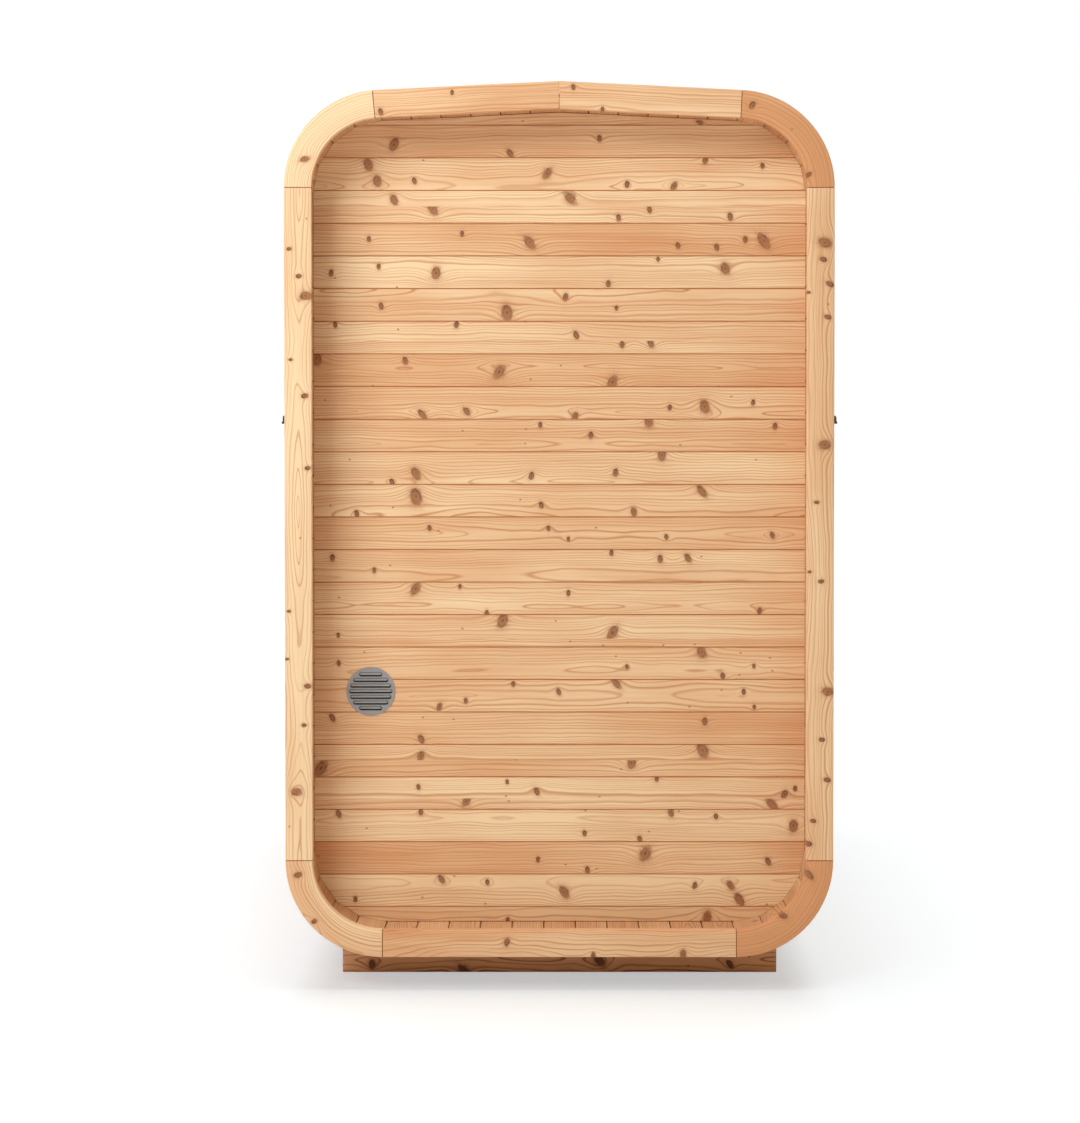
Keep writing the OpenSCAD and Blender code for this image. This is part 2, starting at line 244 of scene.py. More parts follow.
class Timber(Solids):
    """Closed boards gathered into one mesh, each with its own growth rings and knots."""

    def __init__(self):
        super().__init__()
        self.grain, self.log, self.tone, self.seam, self.knots = [], [], [], [], []

    def add_board(self, points, grain, faces, knots, log, tone, seams=(True, True), ends=False):
        """Adds one board; its edges at the lower and the upper v can be seams, and so can its ends."""
        self.solid(points, faces)
        self.grain += grain
        self.log += [log] * len(points)
        self.tone += [tone] * len(points)
        (first_u, near), (last_u, far) = ([pick(g[i] for g in grain) for i in (0, 1)] for pick in (min, max))
        # seam is 1 on the faces at the joints, where the wood finish paints shade in its Edge colour
        self.seam += [float(seams[0] and v - near < SAME or seams[1] and far - v < SAME
                            or ends and min(u - first_u, last_u - u) < SAME) for u, v, w in grain]
        self.knots += knots

    def board(self, section, start, end, place, log, tone=0.0, knots=(), cuts=(), ease=0.0,
              seams=(True, True), ends=False):
        """A board along u. start and end may depend on v; place gives the point at u, v, w;
        knots are (u, v, radius); cuts are further places where the board bends."""
        at = lambda cut, v: cut(v) if callable(cut) else cut
        knots = sorted(knots)
        v_side, w_side = ((min(p[i] for p in section), max(p[i] for p in section)) for i in (0, 1))
        near, far = min(at(start, v) for v in v_side), max(at(end, v) for v in v_side)
        inner = [u for u in sorted({k[0] for k in knots} | set(cuts)) if near < u < far]
        clear = 0.3 * MM
        rings = []
        for v, w in section:
            lo, hi = at(start, v), at(end, v)
            along = [min(max(u, lo + ease + clear * (i + 1)), hi - ease - clear * (len(inner) - i))
                     for i, u in enumerate(inner)]
            rings.append([lo, lo + ease] + along + [hi - ease, hi] if ease else [lo] + along + [hi])
        count, size = len(rings[0]), len(section)
        grain = []
        for k in range(count):
            inset = ease if k in (0, count - 1) else 0.0
            grain += [(along[k], within(v, v_side, inset), within(w, w_side, inset))
                      for (v, w), along in zip(section, rings)]
        points = [Vector(place(*g)) for g in grain]
        faces, beside = side_faces(count, size), []
        for k in range(count - 1):
            middle = sum(along[k] + along[k + 1] for along in rings) / (2 * size)
            beside += [knots_beside(knots, middle)] * size
        for first, cut, turn in ((0, start, -1), ((count - 1) * size, end, 1)):
            rim = list(range(first, first + size))
            caps = [rim]
            if callable(cut):
                points.append(sum((points[i] for i in rim), Vector()) / size)
                grain.append(grain[first])
                caps = [[a, b, len(points) - 1] for a, b in zip(rim, rim[1:] + rim[:1])]
            faces += [cap[::turn] for cap in caps]
            beside += [(NO_KNOT,) * 4] * len(caps)
        self.add_board(points, grain, faces, beside, log, tone, seams, ends)

    def slab(self, outline, width, depth, place, log, tone, ease, knots):
        """A board whose face has any outline, as (u, v) points; its edges at v = 0 and width are eased."""
        layers = ((0.0, ease), (ease, 0.0), (depth - ease, 0.0), (depth, ease))
        grain = [(u, within(v, (0.0, width), inset), w) for w, inset in layers for u, v in outline]
        faces = solid_faces(len(layers), len(outline))
        self.add_board([place(*g) for g in grain], grain, faces, [knots] * len(faces), log, tone)

    def piece(self, name, material):
        mesh = new_mesh(name, self.points, self.faces, material)
        for label, row in (("tone", self.tone), ("seam", self.seam)):
            mesh.attributes.new(label, "FLOAT", "POINT").data.foreach_set("value", row)
        vectors = [("grain", "POINT", self.grain), ("log", "POINT", self.log)]
        for i, label in enumerate(KNOT_NAMES):
            corners = [four[i] for four, face in zip(self.knots, self.faces) for _ in face]
            vectors.append((label, "CORNER", corners))
        for label, domain, rows in vectors:
            data = mesh.attributes.new(label, "FLOAT_VECTOR", domain).data
            data.foreach_set("vector", [x for row in rows for x in row])
        return finished(name, mesh)


class Metal(Solids):
    """Turned and pressed parts gathered into one mesh."""

    def turned(self, foot, axis, profile, sides=24):
        """A solid of revolution, or with few sides a nut: profile is (radius, height) from foot up."""
        axis = Vector(axis)
        across = axis.orthogonal().normalized()
        up = axis.cross(across)
        self.solid([Vector(foot) + axis * h + across * a + up * b
                    for r, h in profile for a, b in circle(r, sides=sides)], solid_faces(len(profile), sides))

    def plate(self, outline, place, thick, ease=0.3 * MM):
        """A flat plate: outline as (a, b) round its middle, place gives the point at a, b and height."""
        reach = max(max(abs(a), abs(b)) for a, b in outline)
        layers = ((0.0, 1.0), (thick - ease, 1.0), (thick, 1 - ease / reach))
        self.solid([place(a * share, b * share, h) for h, share in layers for a, b in outline],
                   solid_faces(len(layers), len(outline)))


# ---- writing node trees ----

class Nodes:
    """Short ways to write a shader or geometry node tree."""

    def __init__(self, tree):
        self.tree = tree

    def add(self, kind, **settings):
        node = self.tree.nodes.new(kind)
        for name, value in settings.items():
            setattr(node, name, value)
        return node

    def feed(self, socket, value):
        if isinstance(value, bpy.types.NodeSocket):
            self.tree.links.new(value, socket)
        elif value is not None:
            socket.default_value = value

    def fill(self, sockets, values):
        """Feeds sockets by name or number."""
        for key, value in values.items():
            self.feed(sockets[key], value)

    def put(self, kind, inputs, out=0, **settings):
        """Adds a node, fills its inputs, and gives one of its outputs."""
        node = self.add(kind, **settings)
        self.fill(node.inputs, inputs)
        return node.outputs[out]

    def use(self, tree, inputs):
        """Adds a node for a group, and gives its outputs."""
        node = self.add("ShaderNodeGroup", node_tree=tree)
        self.fill(node.inputs, inputs)
        return node.outputs

    def math(self, operation, *values, clamp=False):
        return self.put("ShaderNodeMath", dict(enumerate(values)), operation=operation, use_clamp=clamp)

    def chain(self, operation, values, clamp=False):
        """Works through the values from left to right; clamp keeps the result from 0 to 1."""
        result = values[0]
        for i, value in enumerate(values[1:], 2):
            result = self.math(operation, result, value, clamp=clamp and i == len(values))
        return result

    def plus(self, *values, clamp=False):
        return self.chain("ADD", values, clamp)

    def minus(self, *values):
        return self.chain("SUBTRACT", values)

    def times(self, *values, clamp=False):
        return self.chain("MULTIPLY", values, clamp)

    def over(self, *values):
        return self.chain("DIVIDE", values)

    def vector(self, operation, a, b=None):
        second = "Scale" if operation == "SCALE" else 1
        return self.put("ShaderNodeVectorMath", {0: a, second: b}, operation=operation)

    def split(self, value):
        node = self.add("ShaderNodeSeparateXYZ")
        self.feed(node.inputs[0], value)
        return list(node.outputs)

    def join(self, x, y, z=0.0):
        return self.put("ShaderNodeCombineXYZ", {0: x, 1: y, 2: z})

    def noise(self, place, scale=1.0, detail=0.0):
        return self.put("ShaderNodeTexNoise", {"Vector": place, "Scale": scale, "Detail": detail})

    def about(self, value, spread=1.0):
        """Turns a value round a half into one round nought."""
        return self.times(self.minus(value, 0.5), spread)

    def ramp(self, value, low, high, from_value=0.0, to_value=1.0):
        return self.put("ShaderNodeMapRange",
                        {"Value": value, "From Min": low, "From Max": high,
                         "To Min": from_value, "To Max": to_value}, interpolation_type="SMOOTHSTEP")

    def mix(self, factor, a, b):
        return self.put("ShaderNodeMix", {0: factor, 6: a, 7: b}, 2, data_type="RGBA")

    def keep(self, geometry, name, kind, value):
        """Stores a value on every instance under a name."""
        node = self.add("GeometryNodeStoreNamedAttribute", data_type=kind, domain="INSTANCE")
        self.fill(node.inputs, {"Geometry": geometry, "Name": name})
        self.feed([s for s in node.inputs if s.name == "Value" and s.enabled][0], value)
        return node.outputs[0]

    def cover(self, geometry, finish):
        return self.put("GeometryNodeSetMaterial", {"Geometry": geometry, "Material": finish})


def enabled(sockets):
    return [s for s in sockets if s.enabled]


def new_group(kind, name, inputs, outputs):
    """A node group with named sockets, whose kinds follow from their values."""
    tree = bpy.data.node_groups.new(name, kind)

    def socket_kind(value):
        if isinstance(value, str):
            return "NodeSocket" + value
        if isinstance(value, (int, float)):
            return "NodeSocketInt" if isinstance(value, int) else "NodeSocketFloat"
        return "NodeSocketVector" if len(value) == 3 else "NodeSocketColor"

    for way, sockets in (("INPUT", inputs), ("OUTPUT", outputs)):
        for label, value in sockets.items():
            socket = tree.interface.new_socket(label, in_out=way, socket_type=socket_kind(value))
            if way == "INPUT" and not isinstance(value, str):
                socket.default_value = value
    n = Nodes(tree)
    return n, n.add("NodeGroupInput").outputs, n.add("NodeGroupOutput").inputs


def colour(red, green, blue):
    """A colour as it is read on a screen, 0 to 255, for a colour socket."""
    linear = lambda c: c / 12.92 if c <= 0.04045 else ((c + 0.055) / 1.055) ** 2.4
    return tuple(linear(c / 255) for c in (red, green, blue)) + (1.0,)


# ---- wood ----

def knot_group():
    """One knot: how it pushes the growth rings aside, and where it is dark."""
    n, given, made = new_group(
        "ShaderNodeTree", "one knot", {"Grain": (0.0, 0.0, 0.0), "Knot": NO_KNOT},
        {"Push": 0.0, "Lift": 0.0, "Body": 0.0, "Dark": 0.0, "Halo": 0.0})
    du, dv, _ = n.split(n.vector("SUBTRACT", given["Grain"], given["Knot"]))
    radius = n.split(given["Knot"])[2]
    chance = n.put("ShaderNodeTexWhiteNoise", {"Vector": given["Knot"]})
    lean = n.times(n.minus(n.about(chance, 1.3), 0.1), n.ramp(radius, 0.005, 0.011, 0.15))
    leaned = n.minus(du, n.times(dv, lean))

    def size(along, across, u=du):
        """Distance from the knot, in radii stretched by along and across, squared."""
        a = n.over(u, n.times(radius, along))
        b = n.over(dv, n.times(radius, across))
        return n.plus(n.times(a, a), n.times(b, b))

    def fall(value, rate=1.0):
        return n.math("EXPONENT", n.times(value, -rate))

    # strokes run out from the knot's middle like hairs
    outward = n.vector("SCALE", n.vector("NORMALIZE", n.join(leaned, dv)), 5.5)
    strokes = n.noise(n.vector("ADD", outward, n.vector("SCALE", given["Knot"], 90.0)), 1.0, 1.0)
    ragged = n.plus(n.about(n.noise(given["Grain"], 140.0, 2.0), 0.3), n.about(strokes, 0.35))
    reach = n.plus(n.math("SQRT", size(0.8, 1.18, leaned)), ragged)
    near, wide = fall(size(1.7, 1.6)), fall(size(3.6, 2.4))
    aside = n.plus(n.times(near, 0.5), n.times(wide, 0.3))
    n.feed(made["Push"], n.times(dv, aside))
    n.feed(made["Lift"], n.times(fall(size(2.6, 2.0)), n.times(radius, 0.9)))
    n.feed(made["Body"], n.ramp(reach, 0.9, 1.14, 0.94, 0.0))
    patchy = n.noise(n.vector("ADD", given["Grain"], given["Knot"]), 75.0, 1.0)
    rim = n.times(n.ramp(reach, 0.55, 0.85), n.ramp(patchy, 0.36, 0.62, 0.35, 1.0))
    ripple = n.about(n.math("SINE", n.times(reach, 13.0)), 0.4)
    core = n.times(n.ramp(reach, 0.1, 0.5, 0.9, 0.0), chance)
    small = n.ramp(radius, 0.005, 0.012, 0.45, 0.0)
    upper = n.times(n.over(dv, radius), 0.22)
    n.feed(made["Dark"], n.plus(rim, core, n.plus(ripple, small, upper), clamp=True))
    beyond = n.math("MAXIMUM", n.minus(reach, 0.9), 0.0)
    hairs = n.times(n.ramp(strokes, 0.42, 0.6, 0.0, 1.3), fall(beyond, 2.6))
    cloud = n.times(fall(beyond, 1.5), 0.45)
    n.feed(made["Halo"], n.plus(hairs, cloud, clamp=True))
    return n.tree


def scatter_group():
    """Knots strewn along a board: gives the two that are nearest along the grain."""
    n, given, made = new_group(
        "ShaderNodeTree", "scattered knots",
        {"Grain": (0.0, 0.0, 0.0), "Seed": 0.0, "Spacing": 0.3, "Radius": 0.012,
         "Middle": 0.0, "Spread": 0.05, "Share": 0.6},
        {"Knot Before": (0.0, 0.0, 0.0), "Knot After": (0.0, 0.0, 0.0)})
    u = n.split(given["Grain"])[0]
    shift = n.times(given["Seed"], 0.37)
    place = n.over(n.plus(u, shift), given["Spacing"])
    cell = n.math("FLOOR", place)
    side = n.math("SIGN", n.minus(n.math("FRACT", place), 0.5))
    for label, at in (("Knot Before", cell), ("Knot After", n.plus(cell, side))):
        chance = n.add("ShaderNodeTexWhiteNoise")
        n.feed(chance.inputs["Vector"], n.join(at, given["Seed"]))
        red, green, blue = n.split(chance.outputs["Color"])
        along = n.times(n.plus(at, 0.2, n.times(red, 0.6)), given["Spacing"])
        across = n.plus(given["Middle"], n.times(n.about(green), given["Spread"]))
        large = n.plus(0.3, n.times(blue, blue, 0.7))
        there = n.math("LESS_THAN", chance.outputs["Value"], given["Share"])
        radius = n.times(large, given["Radius"], there)
        n.feed(made[label], n.join(n.minus(along, shift), across, n.math("MAXIMUM", radius, 0.0004)))
    return n.tree


def timber_group(knot_tree):
    """Planed softwood: growth rings of a log cut at any place, knots, fibres and pin knots, and a darker
    brown on the faces at seams, which is painted shade in the joints.
    """
    n, given, made = new_group(
        "ShaderNodeTree", "planed timber",
        {"Grain": (0.0, 0.0, 0.0), "Log": (0.0, 0.05, 0.0), "Tone": 0.0,
         "Knot 1": NO_KNOT, "Knot 2": NO_KNOT, "Knot 3": NO_KNOT, "Knot 4": NO_KNOT,
         "Pale": (0.9, 0.7, 0.5, 1.0), "Deep": (0.7, 0.45, 0.25, 1.0), "Line": (0.5, 0.25, 0.1, 1.0),
         "Knot Heart": (0.3, 0.15, 0.08, 1.0), "Knot Rim": (0.1, 0.05, 0.03, 1.0),
         "Edge": (0.5, 0.2, 0.06, 1.0),
         "Ring Width": 0.006, "Contrast": 1.0, "Bend": 0.03, "Wave": 0.014, "Pins": 0.3, "Seam": 0.0},
        {"Color": (0.0, 0.0, 0.0, 1.0), "Roughness": 0.0, "Height": 0.0})
    grain = given["Grain"]
    u, v, w = n.split(grain)
    heart_v, heart_w, seed = n.split(given["Log"])
    own = n.join(n.times(seed, 1.7), n.times(seed, 0.9), n.times(seed, 2.3))

    def pattern(along, across, detail=0.0):
        stretched = n.vector("MULTIPLY", grain, (along, across, across))
        return n.noise(n.vector("ADD", stretched, own), 1.0, detail)

    knots = [n.use(knot_tree, {"Grain": grain, "Knot": given["Knot %d" % i]}) for i in range(1, 5)]
    slow = n.times(n.about(pattern(1.5, 4.0, 1.0)), given["Bend"])
    across = n.minus(n.plus(v, slow), *[knot["Push"] for knot in knots], heart_v)
    along = n.join(n.plus(n.times(u, 2.2), seed), seed)
    deep = n.plus(n.minus(w, heart_w), n.about(n.noise(along, 1.0, 1.0), 0.06))
    from_heart = n.math("SQRT", n.plus(n.times(across, across), n.times(deep, deep)))
    steep = n.over(n.math("ABSOLUTE", across), n.math("MAXIMUM", from_heart, 0.001))
    waves = n.plus(n.about(pattern(3.5, 11.0, 1.0)), n.about(pattern(15.0, 42.0), 0.3))
    from_heart = n.minus(n.plus(from_heart, n.times(waves, given["Wave"])), *[knot["Lift"] for knot in knots])
    shift = n.put("ShaderNodeTexNoise", {"W": n.plus(n.times(from_heart, 40.0), seed), "Scale": 1.0,
                                         "Detail": 0.0}, noise_dimensions="1D")
    years = n.plus(n.over(from_heart, given["Ring Width"]), n.about(shift, 2.4))
    season = n.math("FRACT", years)
    year = n.put("ShaderNodeTexWhiteNoise", {"W": n.plus(n.math("FLOOR", years), n.times(seed, 13.0))},
                 noise_dimensions="1D")
    # where the board is cut flat to its rings they lie far apart, and their dark edges stay thin
    early = n.minus(0.76, n.times(steep, 0.44))
    late = n.plus(n.ramp(season, early, 0.84), n.times(season, season, 0.12))
    over = n.ramp(season, 0.84, n.plus(0.93, n.times(steep, 0.07)), 1.0, 0.0)
    strength = n.times(n.plus(0.36, n.times(year, 0.56)), n.minus(1.1, n.times(steep, 0.15)))
    faint = n.minus(1.0, n.times(n.math("MAXIMUM", given["Tone"], 0.0), 0.28))
    line = n.times(late, over, n.times(strength, faint))

    streak = n.plus(n.about(pattern(1.6, 22.0, 1.0), 0.9), n.about(pattern(6.0, 170.0), 0.35),
                    n.about(pattern(3.2, 6.0, 1.0), 0.75))
    deepness = n.plus(n.minus(0.46, n.times(given["Tone"], 0.5)), streak, clamp=True)
    fibres = pattern(14.0, 420.0, 2.0)
    surface = n.mix(deepness, given["Pale"], given["Deep"])
    surface = n.mix(n.times(line, given["Contrast"], clamp=True), surface, given["Line"])
    surface = n.vector("SCALE", surface, n.plus(0.93, n.times(fibres, 0.14)))
    # the Edge colour on the faces at seams is painted shade in the joints between boards
    surface = n.mix(n.math("POWER", given["Seam"], 0.35), surface, given["Edge"])
    burr = n.mix(0.5, given["Line"], given["Knot Heart"])
    for knot in knots:
        surface = n.mix(n.times(knot["Halo"], 0.7), surface, burr)
    for knot in knots:
        flesh = n.mix(knot["Dark"], given["Knot Heart"], given["Knot Rim"])
        surface = n.mix(knot["Body"], surface, flesh)
    bodies = n.plus(*[knot["Body"] for knot in knots])

    spots = n.add("ShaderNodeTexVoronoi", voronoi_dimensions="2D")
    sown = n.vector("ADD", n.vector("MULTIPLY", grain, (13.0, 19.0, 0.0)), own)
    n.fill(spots.inputs, {"Scale": 1.0, "Vector": sown})
    picked = n.math("LESS_THAN", n.split(spots.outputs["Color"])[0], given["Pins"])
    pin = n.times(n.ramp(spots.outputs["Distance"], 0.018, 0.055, 0.9, 0.0), picked)
    n.fill(made, {"Color": n.mix(pin, surface, given["Knot Heart"]),
                  "Roughness": n.minus(0.66, n.times(n.plus(line, bodies), 0.1)),
                  "Height": n.plus(n.times(line, 0.12), n.times(fibres, 0.3), n.times(bodies, 0.2))})
    return n.tree


KNOT_TREE = knot_group()
SCATTER_TREE = scatter_group()
TIMBER_TREE = timber_group(KNOT_TREE)


def new_material(name):
    material = bpy.data.materials.new(name)
    material.use_nodes = True
    return material, Nodes(material.node_tree), material.node_tree.nodes["Principled BSDF"].inputs


def show(n, shader, look, relief):
    """Feeds the outputs of a finish to the shader."""
    bump = n.put("ShaderNodeBump", {"Distance": relief, "Height": look["Height"]})
    n.fill(shader, {"Base Color": look["Color"], "Roughness": look["Roughness"], "Normal": bump})


def wood(name, pale, deep, line, heart, rim, edge, scattered=None, seam=0.0, **values):
    """A timber finish. Its knots come from the boards, or are scattered along them."""
    material, n, shader = new_material(name)
    read = lambda label, out: n.add("ShaderNodeAttribute", attribute_name=label).outputs[out]
    grain, log = read("grain", "Vector"), read("log", "Vector")
    inputs = {"Grain": grain, "Log": log, "Tone": read("tone", "Fac")}
    if seam:
        inputs["Seam"] = n.times(read("seam", "Fac"), seam)
    if scattered:
        found = n.use(SCATTER_TREE, dict(scattered, Grain=grain, Seed=n.split(log)[2]))
    else:
        found = [read(label, "Vector") for label in KNOT_NAMES]
    inputs.update(("Knot %d" % i, knot) for i, knot in enumerate(found, 1))
    colours = {"Pale": pale, "Deep": deep, "Line": line, "Knot Heart": heart, "Knot Rim": rim, "Edge": edge}
    inputs.update((label, colour(*value)) for label, value in colours.items())
    inputs.update((label.replace("_", " ").title(), value) for label, value in values.items())
    show(n, shader, n.use(TIMBER_TREE, inputs), 0.3 * MM)
    shader["Specular IOR Level"].default_value = 0.12
    return material


# edge is the colour painted on the faces at seams: painted shade in the joints
PALE_SPRUCE = dict(pale=(250, 224, 183), deep=(223, 167, 121), line=(198, 134, 88),
                   heart=(172, 121, 86), rim=(96, 60, 42), edge=(190, 120, 70))
BROWN_SPRUCE = dict(PALE_SPRUCE, pale=(230, 191, 148), deep=(194, 140, 99), line=(160, 100, 63),
                    edge=(140, 84, 50))
STAVES = dict(Spacing=0.32, Radius=0.012, Middle=0.0, Spread=0.055, Share=0.55)
stave_wood = wood("stave spruce", scattered=STAVES, seam=0.85, ring_width=0.0042, contrast=0.8,
                  wave=0.008, **BROWN_SPRUCE)
board_wood = wood("wall board spruce", pins=0.1, seam=0.9, ring_width=0.0068, contrast=0.82, **PALE_SPRUCE)
trim_wood = wood("trim spruce", pins=0.07, bend=0.024, contrast=0.8, seam=0.9, **PALE_SPRUCE)
door_wood = wood("door spruce", scattered=dict(STAVES, Middle=0.045, Spacing=0.4), seam=0.8, **PALE_SPRUCE)
bearer_wood = wood("brown bearer timber", pale=(250, 199, 155), deep=(214, 159, 118), line=(124, 76, 50),
                   heart=(122, 76, 50), rim=(60, 32, 22), edge=(120, 70, 44), contrast=1.2, ring_width=0.011,
                   bend=0.07, wave=0.02, pins=0.1)


# ---- other finishes ----

def speckle_group():
    """Fine unevenness of a coated or moulded face."""
    n, given, made = new_group("ShaderNodeTree", "fine speckle",
                               {"Scale": 900.0, "Tint": (0.5, 0.5, 0.5, 1.0), "Spread": 0.1, "Rough": 0.5},
                               {"Color": (0.0, 0.0, 0.0, 1.0), "Roughness": 0.0, "Height": 0.0})
    place = n.add("ShaderNodeTexCoord").outputs["Object"]
    fine, broad = n.noise(place, given["Scale"], 2.0), n.noise(place, 14.0, 2.0)
    uneven = n.times(n.plus(n.about(fine, 0.6), n.about(broad)), given["Spread"])
    n.fill(made, {"Color": n.vector("SCALE", given["Tint"], n.plus(1.0, uneven)),
                  "Roughness": n.plus(given["Rough"], n.about(broad, 0.15)), "Height": fine})
    return n.tree


SPECKLE_TREE = speckle_group()


def coated(name, tint, rough, spread=0.1, relief=0.02 * MM):
    material, n, shader = new_material(name)
    show(n, shader, n.use(SPECKLE_TREE, {"Tint": colour(*tint), "Rough": rough, "Spread": spread}), relief)
    return material


black_steel = coated("black powder coat", (38, 38, 42), 0.42, spread=0.25, relief=0.05 * MM)
grille_coat = coated("grey grille coat", (150, 151, 153), 0.5)
sleeve_plastic = coated("grey sleeve plastic", (176, 176, 174), 0.45)
# near black for the disc behind the vent: the fly screen, and painted shade in the slots
screen_and_slot_shade_black = coated("black fly screen and painted slot shade", (30, 28, 26), 0.8)


# ---- rows of equal pieces ----

def row_tree():
    """One piece set out again and again, in a straight row or round a corner."""
    n, given, made = new_group(
        "GeometryNodeTree", "row of equal pieces",
        {"Geometry": "Geometry", "Count": 1, "Step": (0.0, 0.0, 0.0), "Turn": 0.0,
         "Middle": (0.0, 0.0, 0.0), "Board Width": 0.08, "Tone": 0.0, "Tone Spread": 0.6,
         "Seed": 0, "Finish": "Material"}, {"Geometry": "Geometry"})
    index = n.add("GeometryNodeInputIndex").outputs[0]
    place = n.vector("ADD", given["Middle"], n.vector("SCALE", given["Step"], index))
    spots = n.put("GeometryNodePoints", {"Count": given["Count"], "Position": place})
    bare = given["Geometry"]
    for label in ("log", "tone"):
        bare = n.put("GeometryNodeRemoveAttribute", {"Geometry": bare, "Name": label})
    pattern = n.put("GeometryNodeTransform",
                    {"Geometry": bare, "Translation": n.vector("SCALE", given["Middle"], -1.0)})
    turned = n.put("FunctionNodeEulerToRotation", {0: n.join(0.0, n.times(given["Turn"], index), 0.0)})
    copies = n.put("GeometryNodeInstanceOnPoints", {"Points": spots, "Instance": pattern, "Rotation": turned})

    def chance(kind, low, high, seed):
        node = n.add("FunctionNodeRandomValue", data_type=kind)
        n.fill(enabled(node.inputs), {0: low, 1: high})
        n.feed(node.inputs["Seed"], n.plus(given["Seed"], seed))
        return enabled(node.outputs)[0]

    low = n.join(n.times(given["Board Width"], -0.9), HEART_DEPTH[0], 0.0)
    high = n.join(n.times(given["Board Width"], 0.9), HEART_DEPTH[1], PATTERNS)
    copies = n.keep(copies, "log", "FLOAT_VECTOR", chance("FLOAT_VECTOR", low, high, 1))
    tone = n.plus(given["Tone"], n.times(chance("FLOAT", -0.5, 0.5, 2), given["Tone Spread"]))
    copies = n.keep(copies, "tone", "FLOAT", tone)
    real = n.put("GeometryNodeRealizeInstances", {"Geometry": copies})
    n.feed(made["Geometry"], n.cover(real, given["Finish"]))
    return n.tree


def louvre_tree():
    """A column of pressed hoods, each as long as the round plate leaves room for."""
    n, given, made = new_group(
        "GeometryNodeTree", "column of louvres",
        {"Geometry": "Geometry", "Count": 7, "Pitch": 0.014, "Reach": 0.054, "Edge": 0.004, "Half": 0.03,
         "Middle": (0.0, 0.0, 0.0), "Finish": "Material"}, {"Geometry": "Geometry"})
    index = n.add("GeometryNodeInputIndex").outputs[0]
    rise = n.times(given["Pitch"], n.minus(index, n.times(n.minus(given["Count"], 1.0), 0.5)))
    far = n.plus(n.math("ABSOLUTE", rise), given["Edge"])
    length = n.math("SQRT", n.minus(n.times(given["Reach"], given["Reach"]), n.times(far, far)))
    spots = n.put("GeometryNodePoints", {"Count": given["Count"], "Position": n.join(0.0, 0.0, rise)})
    copies = n.put("GeometryNodeInstanceOnPoints", {"Points": spots, "Instance": given["Geometry"]})
    copies = n.keep(copies, "stretch", "FLOAT", n.minus(length, given["Half"]))
    real = n.put("GeometryNodeRealizeInstances", {"Geometry": copies})
    stretch = n.add("GeometryNodeInputNamedAttribute", data_type="FLOAT")
    stretch.inputs["Name"].default_value = "stretch"
    side = n.math("SIGN", n.split(n.add("GeometryNodeInputPosition").outputs[0])[0])
    offset = n.join(n.times(side, enabled(stretch.outputs)[0]), 0.0, 0.0)
    longer = n.put("GeometryNodeSetPosition", {"Geometry": real, "Offset": offset})
    placed = n.put("GeometryNodeTransform", {"Geometry": longer, "Translation": given["Middle"]})
    n.feed(made["Geometry"], n.cover(placed, given["Finish"]))
    return n.tree


ROW_TREE = row_tree()
LOUVRE_TREE = louvre_tree()


def plain_mesh(thing):
    """The mesh that an object shows, with what its modifiers and curves make."""
    bpy.context.view_layer.update()
    graph = bpy.context.evaluated_depsgraph_get()
    mesh = bpy.data.meshes.new_from_object(thing.evaluated_get(graph), preserve_all_data_layers=True,
                                           depsgraph=graph)
    bpy.data.objects.remove(thing)
    return mesh


def set_out(pattern, tree, name, **values):
    """Runs a tree on one piece and gives the result as a plain piece."""
    modifier = pattern.modifiers.new("row", "NODES")
    modifier.node_group = tree
    for item in tree.interface.items_tree:
        label = item.name.replace(" ", "_").lower()
        if item.item_type == "SOCKET" and item.in_out == "INPUT" and label in values:
            modifier[item.identifier] = values[label]
    mesh = plain_mesh(pattern)
    mesh.name = name
    return finished(name, mesh)


def joined(name, pieces):
    """Several pieces as one."""
    with bpy.context.temp_override(active_object=pieces[0], selected_editable_objects=pieces):
        bpy.ops.object.join()
    pieces[0].name = name
    return pieces[0]


# ---- shell of staves ----

HANDS = ((1, "right"), (-1, "left"))
STAVE_EASE = 0.6 * MM
stave_end = shell_end - 0.2 * MM


def stave_row(node, section, place, count, seed, spread, tone=0.0, step=(0.0, 0.0, 0.0), turn=0.0,
              middle=(0.0, 0.0, 0.0)):
    """The staves of one side. place gives the point of the first stave at v, w; they run front to back."""
    one = Timber()
    one.board(section, -stave_end, stave_end, lambda u, v, w: place(v, w, u), (0, 0, 0), ease=STAVE_EASE)
    row = set_out(one.piece(node + "_pattern", stave_wood), ROW_TREE, node + "_staves",
                  count=count, step=step, turn=turn, middle=middle, board_width=77 * MM,
                  seed=seed, tone=tone, tone_spread=spread, finish=stave_wood)
    hand_over(row, "stave_wood", node)


cover = 2 * half_flat / FLOOR_STAVES
flat_section = stave_section(cover, cover, shell_t)
stave_row("floor", flat_section, lambda v, w, u: (-half_flat + cover / 2 + v, u, floor_z - shell_t + w),
          FLOOR_STAVES, 3, 0.9, step=(cover, 0, 0))
side_cover = (high_z - low_z) / SIDE_STAVES
side_section = stave_section(side_cover, side_cover, shell_t)
for side, hand in HANDS:
    stave_row(hand + "_wall", side_section,
              lambda v, w, u: (side * (inner_half + shell_t - w), u, low_z + side_cover / 2 + side * v),
              SIDE_STAVES, 20 + side, 0.8, -0.2, step=(0, 0, side_cover))

